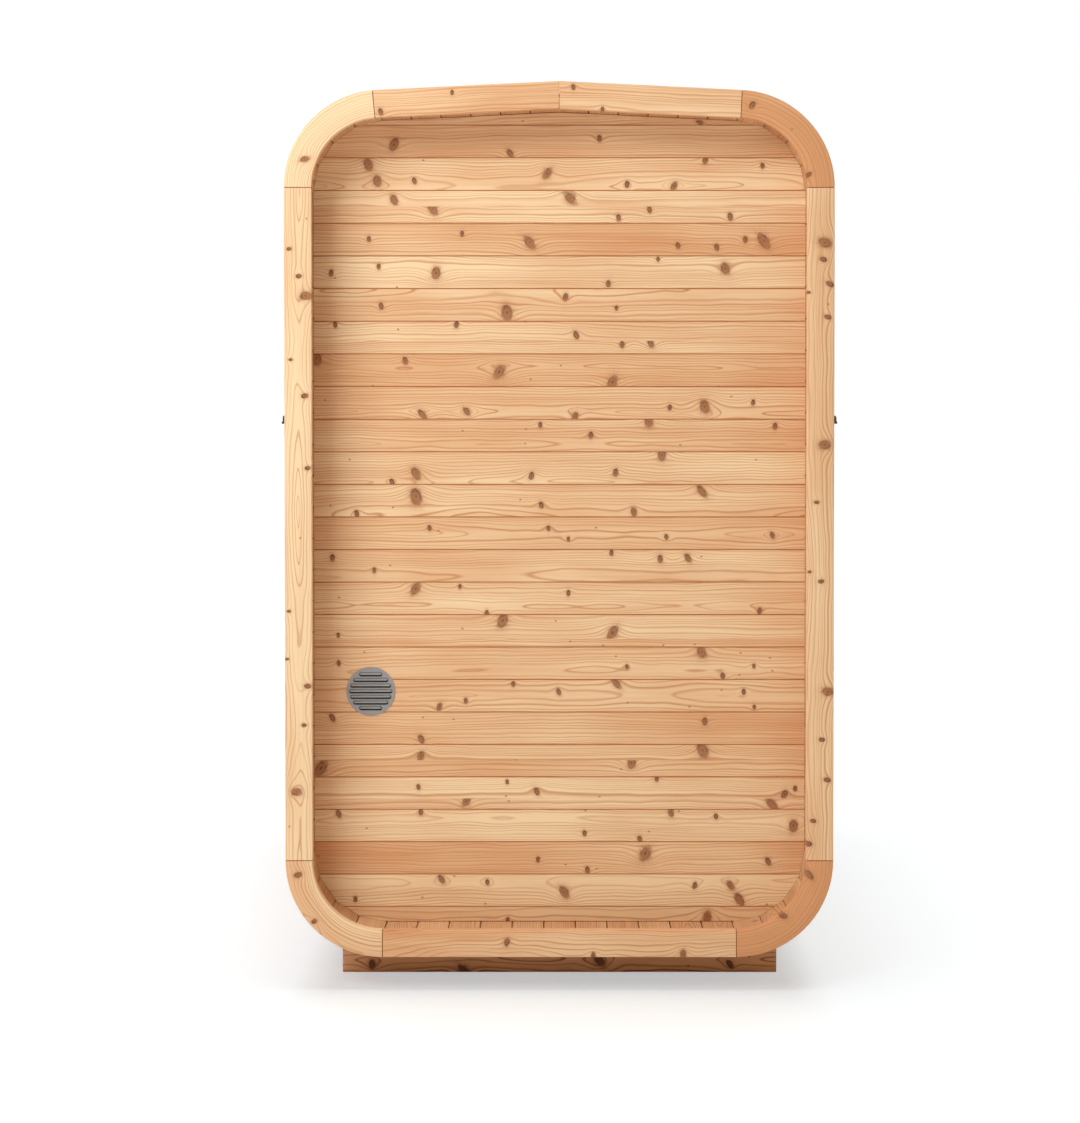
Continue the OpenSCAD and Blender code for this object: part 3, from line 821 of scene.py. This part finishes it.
for side, hand in HANDS:
    for name, middle_z, first, span in (("corner_bottom_", low_z, -RIGHT_ANGLE, RIGHT_ANGLE),
                                        ("corner_top_", high_z, 0.0, eave_turn)):
        turn = span / CORNER_STAVES
        chord = lambda r: 2 * r * math.sin(turn / 2)
        flat = lambda r: r * math.cos(turn / 2)
        half = first + turn / 2
        out = Vector((side * math.cos(half), 0, math.sin(half)))
        along = Vector((-side * math.sin(half), 0, math.cos(half))) * side
        middle = Vector((side * half_flat, 0, middle_z))
        far = flat(corner_r + shell_t)
        depth = far - flat(corner_r)
        stave_row(name + hand, stave_section(chord(corner_r), chord(corner_r + shell_t), depth),
                  lambda v, w, u: middle + out * (far - w) + along * v + Vector((0, u, 0)),
                  CORNER_STAVES, 40 + side * 3 + (name == "corner_top_"), 0.9,
                  turn=-side * turn, middle=tuple(middle))

for side, hand in HANDS:
    staves = Timber()
    sine, cosine = math.sin(roof_pitch), math.cos(roof_pitch)
    eave = Vector((half_flat, 0, high_z)) + (corner_r + shell_t) * Vector((sine, 0, cosine))
    down, under = Vector((cosine, 0, -sine)), Vector((-sine, 0, -cosine))
    width = eave.x / cosine / ROOF_STAVES
    section = stave_section(width, width, shell_t)
    for k in range(ROOF_STAVES):
        def on_roof(u, v, w):
            p = eave - down * (width * (k + 0.5) - v) + under * w
            return (side * max(p.x, 0.3 * MM), u, p.z)
        staves.board(section, -stave_end, stave_end, on_roof, random_log(width),
                     rng.uniform(-0.35, 0.35), ease=STAVE_EASE)
    hand_over(staves.piece("roof_%s_staves" % hand, stave_wood), "stave_wood", "roof_" + hand)


# ---- trim rings ----

# the nine boards of a ring, right hand and left: tone, heart (share of the width, depth in mm), knots
# as (place along, place across from the inner edge, radius) in mm; a side is counted from its lower end,
# the floor board from its left end, a roof board from the eave, and a corner from its lower end
# These tones are partly the boards' own and partly painted light: the left side and the upper left corner are
# lighter and the right-hand corners darker, as light from the left falls on them.
RING_BOARDS = {
    "bottom": (-0.05, (1.3, 60), [(300, 28, 8), (508, 60, 6), (724, 57, 9)]),
    "left": (0.75, (0.45, 16), [(166, 38, 11), (327, 19, 5), (421, 11, 7), (486, 60, 4), (601, 55, 4),
                                (945, 9, 6), (1118, 16, 7), (1205, 50, 4), (1358, 13, 12),
                                (1405, 30, 6), (1470, 53, 5)]),
    "right": (0.2, (-0.5, 45), [(41, 4, 8), (96, 16, 6), (195, 50, 7), (292, 37, 6), (408, 51, 12),
                                (673, 34, 6), (696, 6, 4), (863, 23, 5), (1001, 42, 13), (1307, 49, 7),
                                (1366, 3, 4), (1386, 54, 8), (1445, 38, 7), (1485, 42, 14)]),
    "top_left": (-0.1, (1.6, 30), [(8, 12, 7), (180, 50, 5)]),
    "top_right": (0.0, (-0.4, 30), [(332, 2, 5), (402, 52, 6)]),
    "corner_bottom_left": (0.05, (0.9, 22), [(169, 52, 6), (282, 38, 8)]),
    "corner_bottom_right": (-1.1, (-0.6, 40), [(140, 4, 10), (277, 9, 11)]),
    "corner_top_left": (1.2, (3.2, 40), [(71, 27, 9)]),
    "corner_top_right": (-1.2, (2.6, 55), [(35, 3, 8), (279, 31, 8)]),
}
ARC_STEPS = 20
EARLY_JOINT = 8 * MM  # the left roof board of the back ring starts this far before the eave
ring_width = ring_out - ring_in


def ring_paths():
    """For each board of a ring: its length, whether it bends, and the point at u along and v across."""
    middle_r = corner_r + (ring_in + ring_out) / 2
    eave_x = half_flat + corner_r * math.sin(roof_pitch)
    slope = eave_x / math.cos(roof_pitch)

    def on_slope(u, v):
        d = ring_in + v
        if u < 0:
            return on_corner(high_z, d, eave_turn + u / middle_r)
        (x0, z0), (x1, z1) = on_corner(high_z, d, eave_turn), (0.0, ridge_height(d))
        t = u / slope
        return x0 + (x1 - x0) * t, z0 + (z1 - z0) * t

    paths = {
        "bottom": (2 * half_flat, 0, lambda u, v: (-half_flat + u, floor_z - ring_in - v)),
        "right": (high_z - low_z, 0, lambda u, v: (inner_half + ring_in + v, low_z + u)),
        "top_right": (slope, 0, on_slope),
        "corner_bottom_right": (middle_r * RIGHT_ANGLE, 1, lambda u, v: on_corner(
            low_z, ring_in + v, u / middle_r - RIGHT_ANGLE)),
        "corner_top_right": (middle_r * eave_turn, 1, lambda u, v: on_corner(
            high_z, ring_in + v, u / middle_r)),
    }
    for name in [n for n in paths if n.endswith("right")]:
        length, bends, path = paths[name]
        mirrored = lambda u, v, path=path: (-path(u, v)[0], path(u, v)[1])
        paths[name.replace("right", "left")] = (length, bends, mirrored)
    return paths


def trim_ring(end, sign):
    """The flat ring on one end: nine boards with rounded edges, butted together."""
    ring = Timber()
    gap = 0.4 * MM
    for name, (length, bends, path) in ring_paths().items():
        tone, (heart, below), knots = RING_BOARDS[name]
        log = (heart * ring_width, below * MM, rng.uniform(0, PATTERNS))
        if sign > 0:
            log, tone = random_log(ring_width), rng.uniform(-0.3, 0.5)
            knots = [(rng.uniform(0, length) / MM, rng.uniform(5, 60), rng.uniform(4, 12))
                     for _ in range(int(length * 4))]
        cuts = [length * i / ARC_STEPS for i in range(1, ARC_STEPS)] if bends else ()
        first, last = gap, length - gap
        if sign < 0 and name == "top_left":
            first, cuts = first - EARLY_JOINT, (-EARLY_JOINT / 2, 0)
        if sign < 0 and name == "corner_top_left":
            last -= EARLY_JOINT

        def on_ring(u, v, w):
            x, z = path(u, v)
            return x, sign * (ring_face - w), z

        # the butt ends count as seams, so the joints between ring boards get the painted joint shade too
        ring.board(eased(ring_width, ring_t, 1.0 * MM, 0.5 * MM), first, last, on_ring, log, tone,
                   in_mm(knots), cuts, ease=0.9 * MM, seams=(False, False), ends=True)
    piece = ring.piece(end + "_trim_ring", trim_wood)
    hand_over(piece, "ring_wood", *[end + "_ring_" + name for name in RING_BOARDS])


trim_ring("back", -1)
trim_ring("front", 1)


# ---- end walls ----

# boards of the back wall from the floor up: tone, heart across (mm) and below the face (mm), height of a
# glued joint (mm, or 0), and knots as (place from the middle, height on the board, radius) in mm
BACK_BOARDS = [
    (0.3, -30, 60, 0, [(365, 12, 12), (-128, 3, 6)]),
    (0.75, 60, 14, 0, [(-504, 18, 6), (-291, 67, 9), (-178, 60, 6), (12, 35, 13), (334, 52, 7), (422, 52, 10),
                       (444, 17, 13)]),
    (-0.5, 120, 30, 0, [(-53, 36, 6), (69, 10, 7), (212, 51, 16), (515, 31, 8)]),
    (0.45, 55, 10, 0, [(-545, 69, 8), (-342, 74, 7), (62, 21, 6), (198, 6, 7), (275, 72, 9), (386, 63, 6),
                       (577, 39, 13)]),
    (0.2, 60, 15, 27, [(-348, 55, 6), (-230, 20, 11), (-129, 68, 5), (-56, 44, 8), (240, 75, 6),
                       (524, 12, 14), (555, 37, 9), (581, 51, 6)]),
    (-0.15, 110, 30, 41, [(-588, 22, 17), (-342, 52, 10), (178, 34, 12), (353, 66, 16)]),
    (-0.3, 130, 25, 0, [(-560, 66, 8), (-341, 13, 9), (358, 57, 8)]),
    (0.2, 40, 14, 0, [(-296, 13, 8), (-231, 28, 6), (-114, 69, 6), (-2, 50, 7), (140, 70, 11),
                      (454, 50, 6), (480, 12, 5)]),
    (-0.1, 22, 12, 0, [(-544, 40, 6), (166, 32, 5), (350, 68, 13), (402, 9, 7), (479, 33, 5)]),
    (0.0, 105, 12, 20, [(-545, 29, 5), (-140, 65, 15), (131, 36, 14)]),
    (0.2, 22, 10, 0, [(-354, 64, 13), (-245, 69, 5), (-179, 4, 6), (22, 53, 6), (493, 9, 7)]),
    (0.15, 15, 14, 0, [(-559, 60, 7), (-456, 29, 6), (128, 72, 6), (248, 57, 8), (316, 59, 9)]),
    (-0.4, 35, 8, 0, [(-320, 53, 6), (-27, 52, 6), (22, 26, 5), (263, 31, 6), (524, 35, 7)]),
    (0.1, 0, 24, 0, [(-499, 8, 7), (-353, 50, 17), (-45, 29, 7), (183, 13, 9), (350, 63, 12)]),
    (0.35, 5, 14, 0, [(-412, 5, 7), (-353, 26, 13), (-69, 21, 8), (138, 29, 8), (252, 72, 12)]),
    (-0.05, 20, 10, 0, [(-47, 66, 6), (77, 41, 7), (220, 73, 12), (530, 63, 7)]),
    (0.05, 18, 12, 0, [(-337, 11, 10), (-228, 19, 9), (38, 7, 9), (271, 29, 6), (357, 31, 14), (476, 41, 6)]),
    (-0.1, 50, 9, 0, [(-597, 69, 14), (-379, 63, 8), (-148, 36, 15), (130, 11, 14)]),
    (0.2, 130, 20, 32, [(-551, 72, 6), (-253, 72, 7), (41, 46, 8), (154, 23, 7), (224, 26, 9)]),
    (0.0, 75, 20, 0, [(-438, 37, 7), (-129, 21, 16), (15, 59, 8), (140, 32, 5)]),
    (0.45, 100, 18, 0, [(-561, 38, 7), (-444, 54, 6), (-303, 38, 13), (120, 12, 7), (242, 72, 5),
                        (407, 49, 13)]),
    (-0.4, 110, 18, 0, [(-468, 41, 6), (-239, 54, 6), (-73, 32, 14), (291, 25, 7), (386, 21, 7), (456, 40, 7),
                        (502, 36, 16)]),
    (0.4, 130, 24, 41, [(-406, 57, 11), (-311, 35, 13), (26, 61, 15), (145, 13, 7), (221, 33, 7),
                        (419, 16, 8)]),
    (0.4, 10, 16, 0, [(-469, 63, 13), (-447, 23, 12), (-356, 23, 7), (-30, 41, 12), (166, 15, 7),
                      (281, 11, 9), (358, 74, 8), (498, 60, 6)]),
    (-0.15, 110, 30, 0, [(-406, 32, 13), (-121, 10, 9), (98, 47, 7)]),
    # the top board's dark tone is partly its own and partly painted shade under the top of the ring
    (-0.4, -40, 40, 0, [(344, 12, 10)]),
]
FIRST_JOINT, BOARD_COVER = 0.1746, 0.08018
JOINT, CHAMFER = 0.05 * MM, 1.6 * MM
END_GAP = -0.4 * MM


def board_span(k):
    """Lower and upper edge of the wall board k, without its joints."""
    low = floor_z - END_GAP if k == 0 else FIRST_JOINT + (k - 1) * BOARD_COVER + JOINT
    return low, FIRST_JOINT + k * BOARD_COVER - JOINT


def wall_part(wall, k, log, tone, knots, on_face, start=None, end=None, low=None, high=None,
              seams=(True, True)):
    """One board or lamella of an end wall, between start and end where they are given.
    Where it has no seam it is glued flush to the next one."""
    z0, z1 = board_span(k)
    z0, z1 = low or z0, high or z1
    last = k == len(BACK_BOARDS) - 1
    place = lambda u, v, w: on_face(u, z0 + v, w)
    if last:
        z1 = ridge_height(END_GAP)
        place = lambda u, v, w: on_face(
            u, z0 + v * (max(room_height(u, END_GAP), z0 + 1 * MM) - z0) / (z1 - z0), w)
    tall = z1 - z0
    outline = right_outline(END_GAP)
    cuts = [s * x for x, z in outline if z > z0 for s in (-1, 1)] if last else ()
    bends = [] if last else [z - z0 for x, z in outline if z0 < z < z1]
    edge = lambda v: half_width(z0 + (0.0 if last else v), END_GAP)
    flush = 1.1 * CHAMFER
    section = [(0.0 if v < flush and not seams[0] else tall if v > tall - flush and not seams[1] else v, w)
               for v, w in eased(tall, wall_t, CHAMFER, steps=1, rows=bends)]
    wall.board(section, start if start is not None else lambda v: -edge(v),
               end if end is not None else edge, place, log, tone, knots, cuts, seams=seams)


vent_lo, vent_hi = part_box("vent_grille")
vent_x, vent_z = (vent_lo.x + vent_hi.x) / 2, (vent_lo.z + vent_hi.z) / 2
sleeve_lo, sleeve_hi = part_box("vent_sleeve")
hole_r = (sleeve_hi.x - sleeve_lo.x) / 2 + 0.5 * MM
HOLE_SIDE = 60 * MM
hole_left, hole_right = vent_x - HOLE_SIDE, vent_x + HOLE_SIDE


def hole_outline(z0, z1):
    """The part of a board beside the vent hole, from the hole's left to its right, as (u, v)."""
    near, far, half_turn = (z0, z1, 180) if z0 > vent_z else (z1, z0, -180)
    rise = near - vent_z
    start = math.degrees(math.atan2(rise, math.sqrt(hole_r ** 2 - rise ** 2)))
    rim = arc(vent_x, vent_z, hole_r, start, half_turn - 2 * start, 40)
    points = [(hole_right, far), (hole_right, near)] + rim + [(hole_left, near), (hole_left, far)]
    return [(x, z - z0) for x, z in points]


def back_wall():
    wall = Timber()
    on_face = lambda x, z, w: (x, -wall_face + w, z)
    for k, (tone, heart, below, split, knots) in enumerate(BACK_BOARDS):
        z0, z1 = board_span(k)
        knots = in_mm(knots)
        log = (heart * MM, below * MM, 7.3 * k)
        part = lambda **span: wall_part(wall, k, log, tone, knots, on_face, **span)
        if split:
            glued = z0 + split * MM
            lower = [n for n in knots if n[1] < split * MM]
            upper = [(x, up - split * MM, r) for x, up, r in knots if up >= split * MM]
            wall_part(wall, k, log, tone, lower, on_face, high=glued - SAME, seams=(True, False))
            wall_part(wall, k, (-heart * MM, below * 1.5 * MM, 5.1 * k + 3), tone + rng.uniform(-0.2, 0.3),
                      upper, on_face, low=glued + SAME, seams=(False, True))
        elif z0 < vent_z + hole_r and z1 > vent_z - hole_r:
            part(end=hole_left)
            part(start=hole_right)
            wall.slab(hole_outline(z0, z1), z1 - z0, wall_t, lambda u, v, w: on_face(u, z0 + v, w),
                      log, tone, CHAMFER, knots_beside(sorted(knots), vent_x))
        else:
            part()
    hand_over(wall.piece("back_wall_boards", board_wood), "board_wood", "back_wall")


def front_wall():
    wall = Timber()
    head_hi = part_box("door_head")[1]
    gap = 0.3 * MM
    doorway, top = head_hi.x + gap, head_hi.z + gap
    for k in range(len(BACK_BOARDS)):
        z0, z1 = board_span(k)
        log, tone = random_log(BOARD_COVER), rng.uniform(-0.5, 0.5)
        knots = [(rng.uniform(-0.6, 0.6), rng.uniform(8, 72) * MM, rng.uniform(4, 14) * MM)
                 for _ in range(5)]
        part = lambda knots, **span: wall_part(wall, k, log, tone, knots,
                                               lambda x, z, w: (x, wall_face - w, z), **span)
        if z0 > top:
            part(knots)
            continue
        part([n for n in knots if n[0] < -doorway], end=-doorway)
        part([n for n in knots if n[0] > doorway], start=doorway)
        if z1 > top:
            part([], start=-doorway, end=doorway, low=top)
    hand_over(wall.piece("front_wall_boards", board_wood), "board_wood",
              "front_wall_left", "front_wall_right", "front_wall_over_door")


back_wall()
front_wall()


# ---- door ----

leaf_lo, leaf_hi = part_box("door_leaf")
LEAF_BOARDS = 7


def door():
    width = (leaf_hi.x - leaf_lo.x) / LEAF_BOARDS
    one = Timber()
    one.board(eased(width - 0.8 * MM, leaf_hi.y - leaf_lo.y, 1.8 * MM, steps=1), leaf_lo.z, leaf_hi.z,
              lambda u, v, w: (leaf_lo.x + 0.4 * MM + v, leaf_hi.y - w, u), (0, 0, 0), ease=1.5 * MM)
    leaf = set_out(one.piece("leaf_pattern", door_wood), ROW_TREE, "door_boards", count=LEAF_BOARDS,
                   step=(width, 0, 0), board_width=width, seed=5, tone=0.1, tone_spread=0.6,
                   finish=door_wood)
    hand_over(leaf, "door_wood", "door_leaf")

    frame_wood = Timber()

    def timber(width, depth, start, end, place, log, knots):
        frame_wood.board(eased(width, depth, 2 * MM), start, end, place, log, 0.0, knots,
                         ease=0.5 * MM, seams=(False, False))

    for node in ("door_head", "door_sill", "door_jambs"):
        lo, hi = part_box(node)
        if node == "door_sill":
            lo.z = floor_z
        depth = hi.y - lo.y
        if node == "door_jambs":
            width = leaf_lo.x - lo.x - 3 * MM
            for x in (lo.x, hi.x - width):
                timber(width, depth, lo.z, hi.z, lambda u, v, w: (x + v, hi.y - w, u), random_log(width),
                       [(lo.z + t, rng.uniform(8, 30) * MM, 6 * MM) for t in (0.35, 0.9, 1.5)])
        else:
            width = hi.z - lo.z
            timber(width, depth, lo.x, hi.x, lambda u, v, w: (u, hi.y - w, lo.z + v), random_log(width),
                   [(0.1, 0.02, 6 * MM)])
    hand_over(frame_wood.piece("door_frame", trim_wood), "door_wood", "door_head", "door_sill", "door_jambs")


def handles():
    """On each face of the leaf an upright bar with well rounded edges, on two blocks."""
    lo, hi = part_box("door_handles")
    bar = hi.x - lo.x
    handle = Timber()
    for face, tip in ((leaf_hi.y, hi.y), (leaf_lo.y, lo.y)):
        out = 1 if tip > face else -1
        handle.board(eased(bar, bar, 6 * MM, steps=5), lo.z, hi.z,
                     lambda u, v, w: (lo.x + v, tip - out * w, u), (-0.02, 0.03, 4.0 + out), 0.5,
                     ease=2.5 * MM, seams=(False, False))
        foot, top = (face, tip - out * bar) if out > 0 else (tip - out * bar, face)
        for z in (lo.z + 1.5 * MM, hi.z - bar + 1.5 * MM):
            handle.board(eased(bar - 3 * MM, bar - 3 * MM, 4 * MM, steps=4), foot, top,
                         lambda u, v, w: (lo.x + 1.5 * MM + v, u, z + w), (0.05, 0.02, 9.0 + z), 0.3,
                         seams=(False, False))
    hand_over(handle.piece("door_pulls", door_wood), "door_wood", "door_handles")


# ---- metal parts ----

def hinges():
    """Three hinges: two screwed plates and a knuckle of five barrels."""
    lo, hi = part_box("door_hinges")
    count, barrels = 3, 5
    pin_x, half = (lo.x + hi.x) / 2, (hi.x - lo.x) / 4
    knuckle_r, tall = 6 * MM, 76 * MM
    rise = (hi.z - lo.z - tall) / (count - 1)
    face, middle_z = leaf_hi.y, lo.z + tall / 2
    head = [(r * MM, h * MM) for r, h in ((3.6, 0), (3.6, 0.25), (3.0, 0.7), (1.4, 0.85), (1.2, 0.35))]
    one = Metal()
    for side in (-1, 1):
        x = pin_x + side * half
        one.plate(rounded_outline(half - 0.3 * MM, tall / 2, 4 * MM),
                  lambda a, b, h: (x + a, face + h, middle_z + b), 2.5 * MM)
        for z in (-26, 0, 26):
            one.turned((x + side * 4 * MM, face + 2.4 * MM, middle_z + z * MM), (0, 1, 0), head)
    barrel, round_off = tall / barrels, 0.5 * MM
    for k in range(barrels):
        one.turned((pin_x, face + knuckle_r, lo.z + barrel * k + 0.15 * MM), (0, 0, 1),
                   ((knuckle_r - round_off, 0), (knuckle_r, round_off), (knuckle_r, barrel - 0.8 * MM),
                    (knuckle_r - round_off, barrel - 0.3 * MM)), 32)
    row = set_out(one.piece("hinge_pattern", black_steel), ROW_TREE, "hinges", count=count,
                  step=(0, 0, rise), finish=black_steel)
    hand_over(row, "black_steel", "door_hinges")


def clamps():
    """On each side of each band two lugs turned out, drawn together by a bolt with washers."""
    lo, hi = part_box("band_clamps")
    band_lo, band_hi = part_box("back_band")
    band_y = (band_lo.y + band_hi.y) / 2
    half_w = (band_hi.y - band_lo.y) / 2
    skin = inner_half + shell_t
    lug, washer = 5 * MM, 1.2 * MM
    gap_lo, gap_hi = lo.z + lug, hi.z - lug
    gap = gap_hi - gap_lo
    rows = []
    for side in (1, -1):
        one = Metal()
        for z, out in ((lo.z, hi.x - skin), (gap_hi, hi.x - skin - 3 * MM)):
            middle_x = skin + out / 2
            one.plate(rounded_outline(out / 2, half_w, 3 * MM),
                      lambda a, b, k: (side * (middle_x + a), band_y + b, z + k), lug, 0.6 * MM)
        # the bolt, its two washers, and the long nut between them
        for z, profile, sides in (
                (gap_lo, ((4 * MM, 0), (4 * MM, gap)), 24),
                (gap_lo, ((7 * MM, 0), (7 * MM, washer)), 24),
                (gap_hi - washer, ((7 * MM, 0), (7 * MM, washer)), 24),
                (gap_lo + washer, ((5.4 * MM, 0), (6 * MM, 0.4 * MM), (6 * MM, gap - 2.8 * MM),
                                   (5.4 * MM, gap - 2 * washer)), 6)):
            one.turned((side * (hi.x - 6.2 * MM), band_y, z), (0, 0, 1), profile, sides)
        rows.append(set_out(one.piece("clamp_pattern", black_steel), ROW_TREE, "clamps_%d" % side, count=2,
                            step=(0, -2 * band_y, 0), finish=black_steel))
    hand_over(joined("band_clamp_set", rows), "black_steel", "band_clamps")


# ---- vent ----

def flat_ring(outlines, thick, name):
    """A flat plate with holes: the first outline is its edge, the others are cut out."""
    curve = bpy.data.curves.new(name, "CURVE")
    curve.dimensions, curve.fill_mode = "2D", "BOTH"
    rim = 0.25 * MM
    curve.bevel_depth, curve.bevel_resolution, curve.extrude = rim, 1, thick / 2 - rim
    for points in outlines:
        spline = curve.splines.new("POLY")
        spline.points.add(len(points) - 1)
        for point, (a, b) in zip(spline.points, points):
            point.co = (a, b, 0.0, 1.0)
        spline.use_cyclic_u = True
    return plain_mesh(linked(name, curve))


LOUVRES, LOUVRE_PITCH, SLOT_HIGH = 7, 13.9 * MM, 10.6 * MM


def vent_cover():
    """A round plate with louvres that open downwards, four screw holes, and a solid black disc behind, which
    stands for the fly screen and paints the shade seen through the slots.
    """
    radius = (vent_hi.x - vent_lo.x) / 2
    thick, back = 2 * MM, -wall_face
    reach, edge = radius - 6 * MM, 4 * MM
    proud = back - thick - vent_lo.y - 0.2 * MM
    outlines = [circle(radius - 0.3 * MM, sides=96)]
    for k in range(LOUVRES):
        rise = (k - (LOUVRES - 1) / 2) * LOUVRE_PITCH
        slot = rounded_outline(math.sqrt(reach ** 2 - (abs(rise) + edge) ** 2), SLOT_HIGH / 2,
                               SLOT_HIGH / 2 - 0.1 * MM, 6)
        outlines.append([(a, b + rise) for a, b in slot])
    screw = radius - 4.2 * MM
    outlines += [circle(1.7 * MM, a, b, 16) for a, b in
                 ((0, screw), (0, -screw), (screw * 0.985, 8 * MM), (-screw * 0.985, 8 * MM))]
    plate = flat_ring(outlines, thick, "vent_plate")
    for vertex in plate.vertices:
        a, b, h = vertex.co
        vertex.co = (vent_x + a, back - thick / 2 - h, vent_z + b)
    plate.materials.append(grille_coat)
    # a solid black disc behind the slots: the fly screen, and painted shade where the slots open
    screen = Metal()
    screen.turned((vent_x, back, vent_z), (0, -1, 0), ((reach, 0.02 * MM), (reach, 0.25 * MM)), 64)

    # each louvre leaves the plate at the top of its slot, swells outwards, and ends in an open lip
    half = 30 * MM
    across, around = 28, 8
    root, lip = 1.1 * MM, -0.6 * MM
    shell, faces = [], []
    for layer in (0, 0.6 * MM):
        for i in range(across + 1):
            x = (half - 1.6 * MM) * (2 * i / across - 1)
            t = min((half - 1.5 * MM - abs(x)) / (6 * MM), 1.0)
            swell = math.sqrt(max(1 - (1 - t) ** 2, 0.0))
            top = (SLOT_HIGH / 2 - 1.0 * MM) * (0.3 + 0.7 * swell)
            for j in range(around + 1):
                out = -root + (proud + root) * swell * math.sin(RIGHT_ANGLE * j / around)
                shell.append((x, -out + layer, top + (lip - top) * j / around))
    row = around + 1
    sheet = (across + 1) * row
    for first, turn in ((0, 1), (sheet, -1)):
        corners = [first + i * row + j for i in range(across) for j in range(around)]
        faces += [[a, a + 1, a + row + 1, a + row][::turn] for a in corners]
    rim = [*range(0, sheet, row), *range(sheet - around, sheet),
           *range(sheet - 1 - row, 0, -row), *range(around - 1, 0, -1)]
    faces += [[a, b, sheet + b, sheet + a] for a, b in zip(rim, rim[1:] + rim[:1])]
    hood = Metal()
    hood.solid(shell, faces)
    hoods = set_out(hood.piece("hood_pattern", grille_coat), LOUVRE_TREE, "vent_hoods", count=LOUVRES,
                    pitch=LOUVRE_PITCH, reach=reach, edge=edge, half=half,
                    middle=(vent_x, back - thick, vent_z), finish=grille_coat)
    pieces = [finished("vent_plate", plate), hoods, screen.piece("vent_screen", screen_and_slot_shade_black)]
    hand_over(joined("vent_cover", pieces), "grille_metal", "vent_grille")


# ---- bearers ----

BEARERS = {  # tone, and knots as (place, height, radius) in mm
    "bearer_back": (0.0, [(-467, 20, 10), (-237, 3, 13), (99, 30, 14), (424, 20, 9)]),
    "bearer_middle": (-0.2, [(-300, 40, 10), (210, 60, 12)]),
    "bearer_front": (0.1, [(-120, 55, 11), (340, 30, 10)]),
}


def bearers():
    beams = Timber()
    for name, (tone, knots) in BEARERS.items():
        lo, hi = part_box(name)
        front, face = (-1, lo.y) if lo.y + hi.y <= 0 else (1, hi.y)
        beams.board(eased(hi.z - lo.z, hi.y - lo.y, 2.5 * MM), lo.x, hi.x,
                    lambda u, v, w: (u, face - front * w, lo.z + v),
                    (30 * MM, 14 * MM, rng.uniform(0, PATTERNS)), tone, in_mm(knots), ease=1.5 * MM)
    hand_over(beams.piece("bearers", bearer_wood), "bearer_wood", *BEARERS)


for build in (door, handles, hinges, clamps, vent_cover, bearers):
    build()

for node, finish in (("back_band", black_steel), ("front_band", black_steel),
                     ("vent_sleeve", sleeve_plastic)):
    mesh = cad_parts[node].data
    mesh.materials.clear()
    mesh.materials.append(finish)


# ---- floor, light and camera ----

def seen(n):
    """1 for rays that show the surroundings themselves: from the camera, or through gloss or glass."""
    rays = n.add("ShaderNodeLightPath").outputs
    both = n.math("MAXIMUM", rays["Is Camera Ray"], rays["Is Glossy Ray"])
    return n.math("MAXIMUM", both, rays["Is Transmission Ray"])


def stage():
    far = 60.0
    material, n, shader = new_material("white studio floor")
    # as it is seen, the warm light that the wood throws on it is evened out, and it leans away from the
    # key lamp, so that only the shadow under the sauna shows
    shown = seen(n)
    n.fill(shader, {
        "Base Color": n.mix(shown, (0.9, 0.9, 0.9, 1), (0.85, 0.935, 1.0, 1)),
        "Normal": n.vector("ADD", n.vector("SCALE", (0.45, 0.55, 0.0), shown), (0.0, 0.0, 1.0)),
        "Roughness": 1.0, "Specular IOR Level": 0.0,
        "Emission Color": (0.87, 0.945, 1, 1), "Emission Strength": n.times(shown, 0.48)})
    corners = [(-far, -far, 0), (far, -far, 0), (far, far, 0), (-far, far, 0)]
    linked("studio_floor", new_mesh("studio_floor", corners, [(0, 1, 2, 3)], material))


AMBIENT = 0.28


def light():
    world = bpy.data.worlds.new("white studio")
    bpy.context.scene.world = world
    world.use_nodes = True
    n = Nodes(world.node_tree)
    n.fill(world.node_tree.nodes["Background"].inputs, {
        "Color": n.mix(seen(n), (1.0, 0.71, 0.45, 1), (1, 1, 1, 1)),
        "Strength": n.plus(AMBIENT, n.times(seen(n), 1 - AMBIENT))})

    def lamp(name, kind, place, aim, energy, **settings):
        data = bpy.data.lights.new(name, kind)
        for label, value in dict(settings, energy=energy).items():
            setattr(data, label, value)
        thing = linked(name, data)
        thing.location = place
        thing.rotation_euler = (Vector(place) - Vector(aim)).to_track_quat("Z", "Y").to_euler()

    lamp("key", "AREA", (-2.4, -3.7, 3.9), (0, -0.9, 1.3), 124, shape="RECTANGLE", size=2.6, size_y=1.8)
    lamp("top", "SUN", (0, 0.5, 5), (0, 0, 0), 0.55 * math.pi, angle=math.radians(40))


def camera():
    lens = bpy.data.cameras.new("camera")
    lens.lens, lens.sensor_width = 62.84, 36.0
    lens.shift_x, lens.shift_y = -0.0217, -0.0985
    lens.clip_end = 200
    view = linked("camera", lens)
    view.location = (0.012, -5.7, 1.3804)
    view.rotation_euler = (RIGHT_ANGLE - 0.0168, 0, 0)
    bpy.context.scene.camera = view


stage()
light()
camera()
bpy.context.scene.view_settings.view_transform = "Standard"
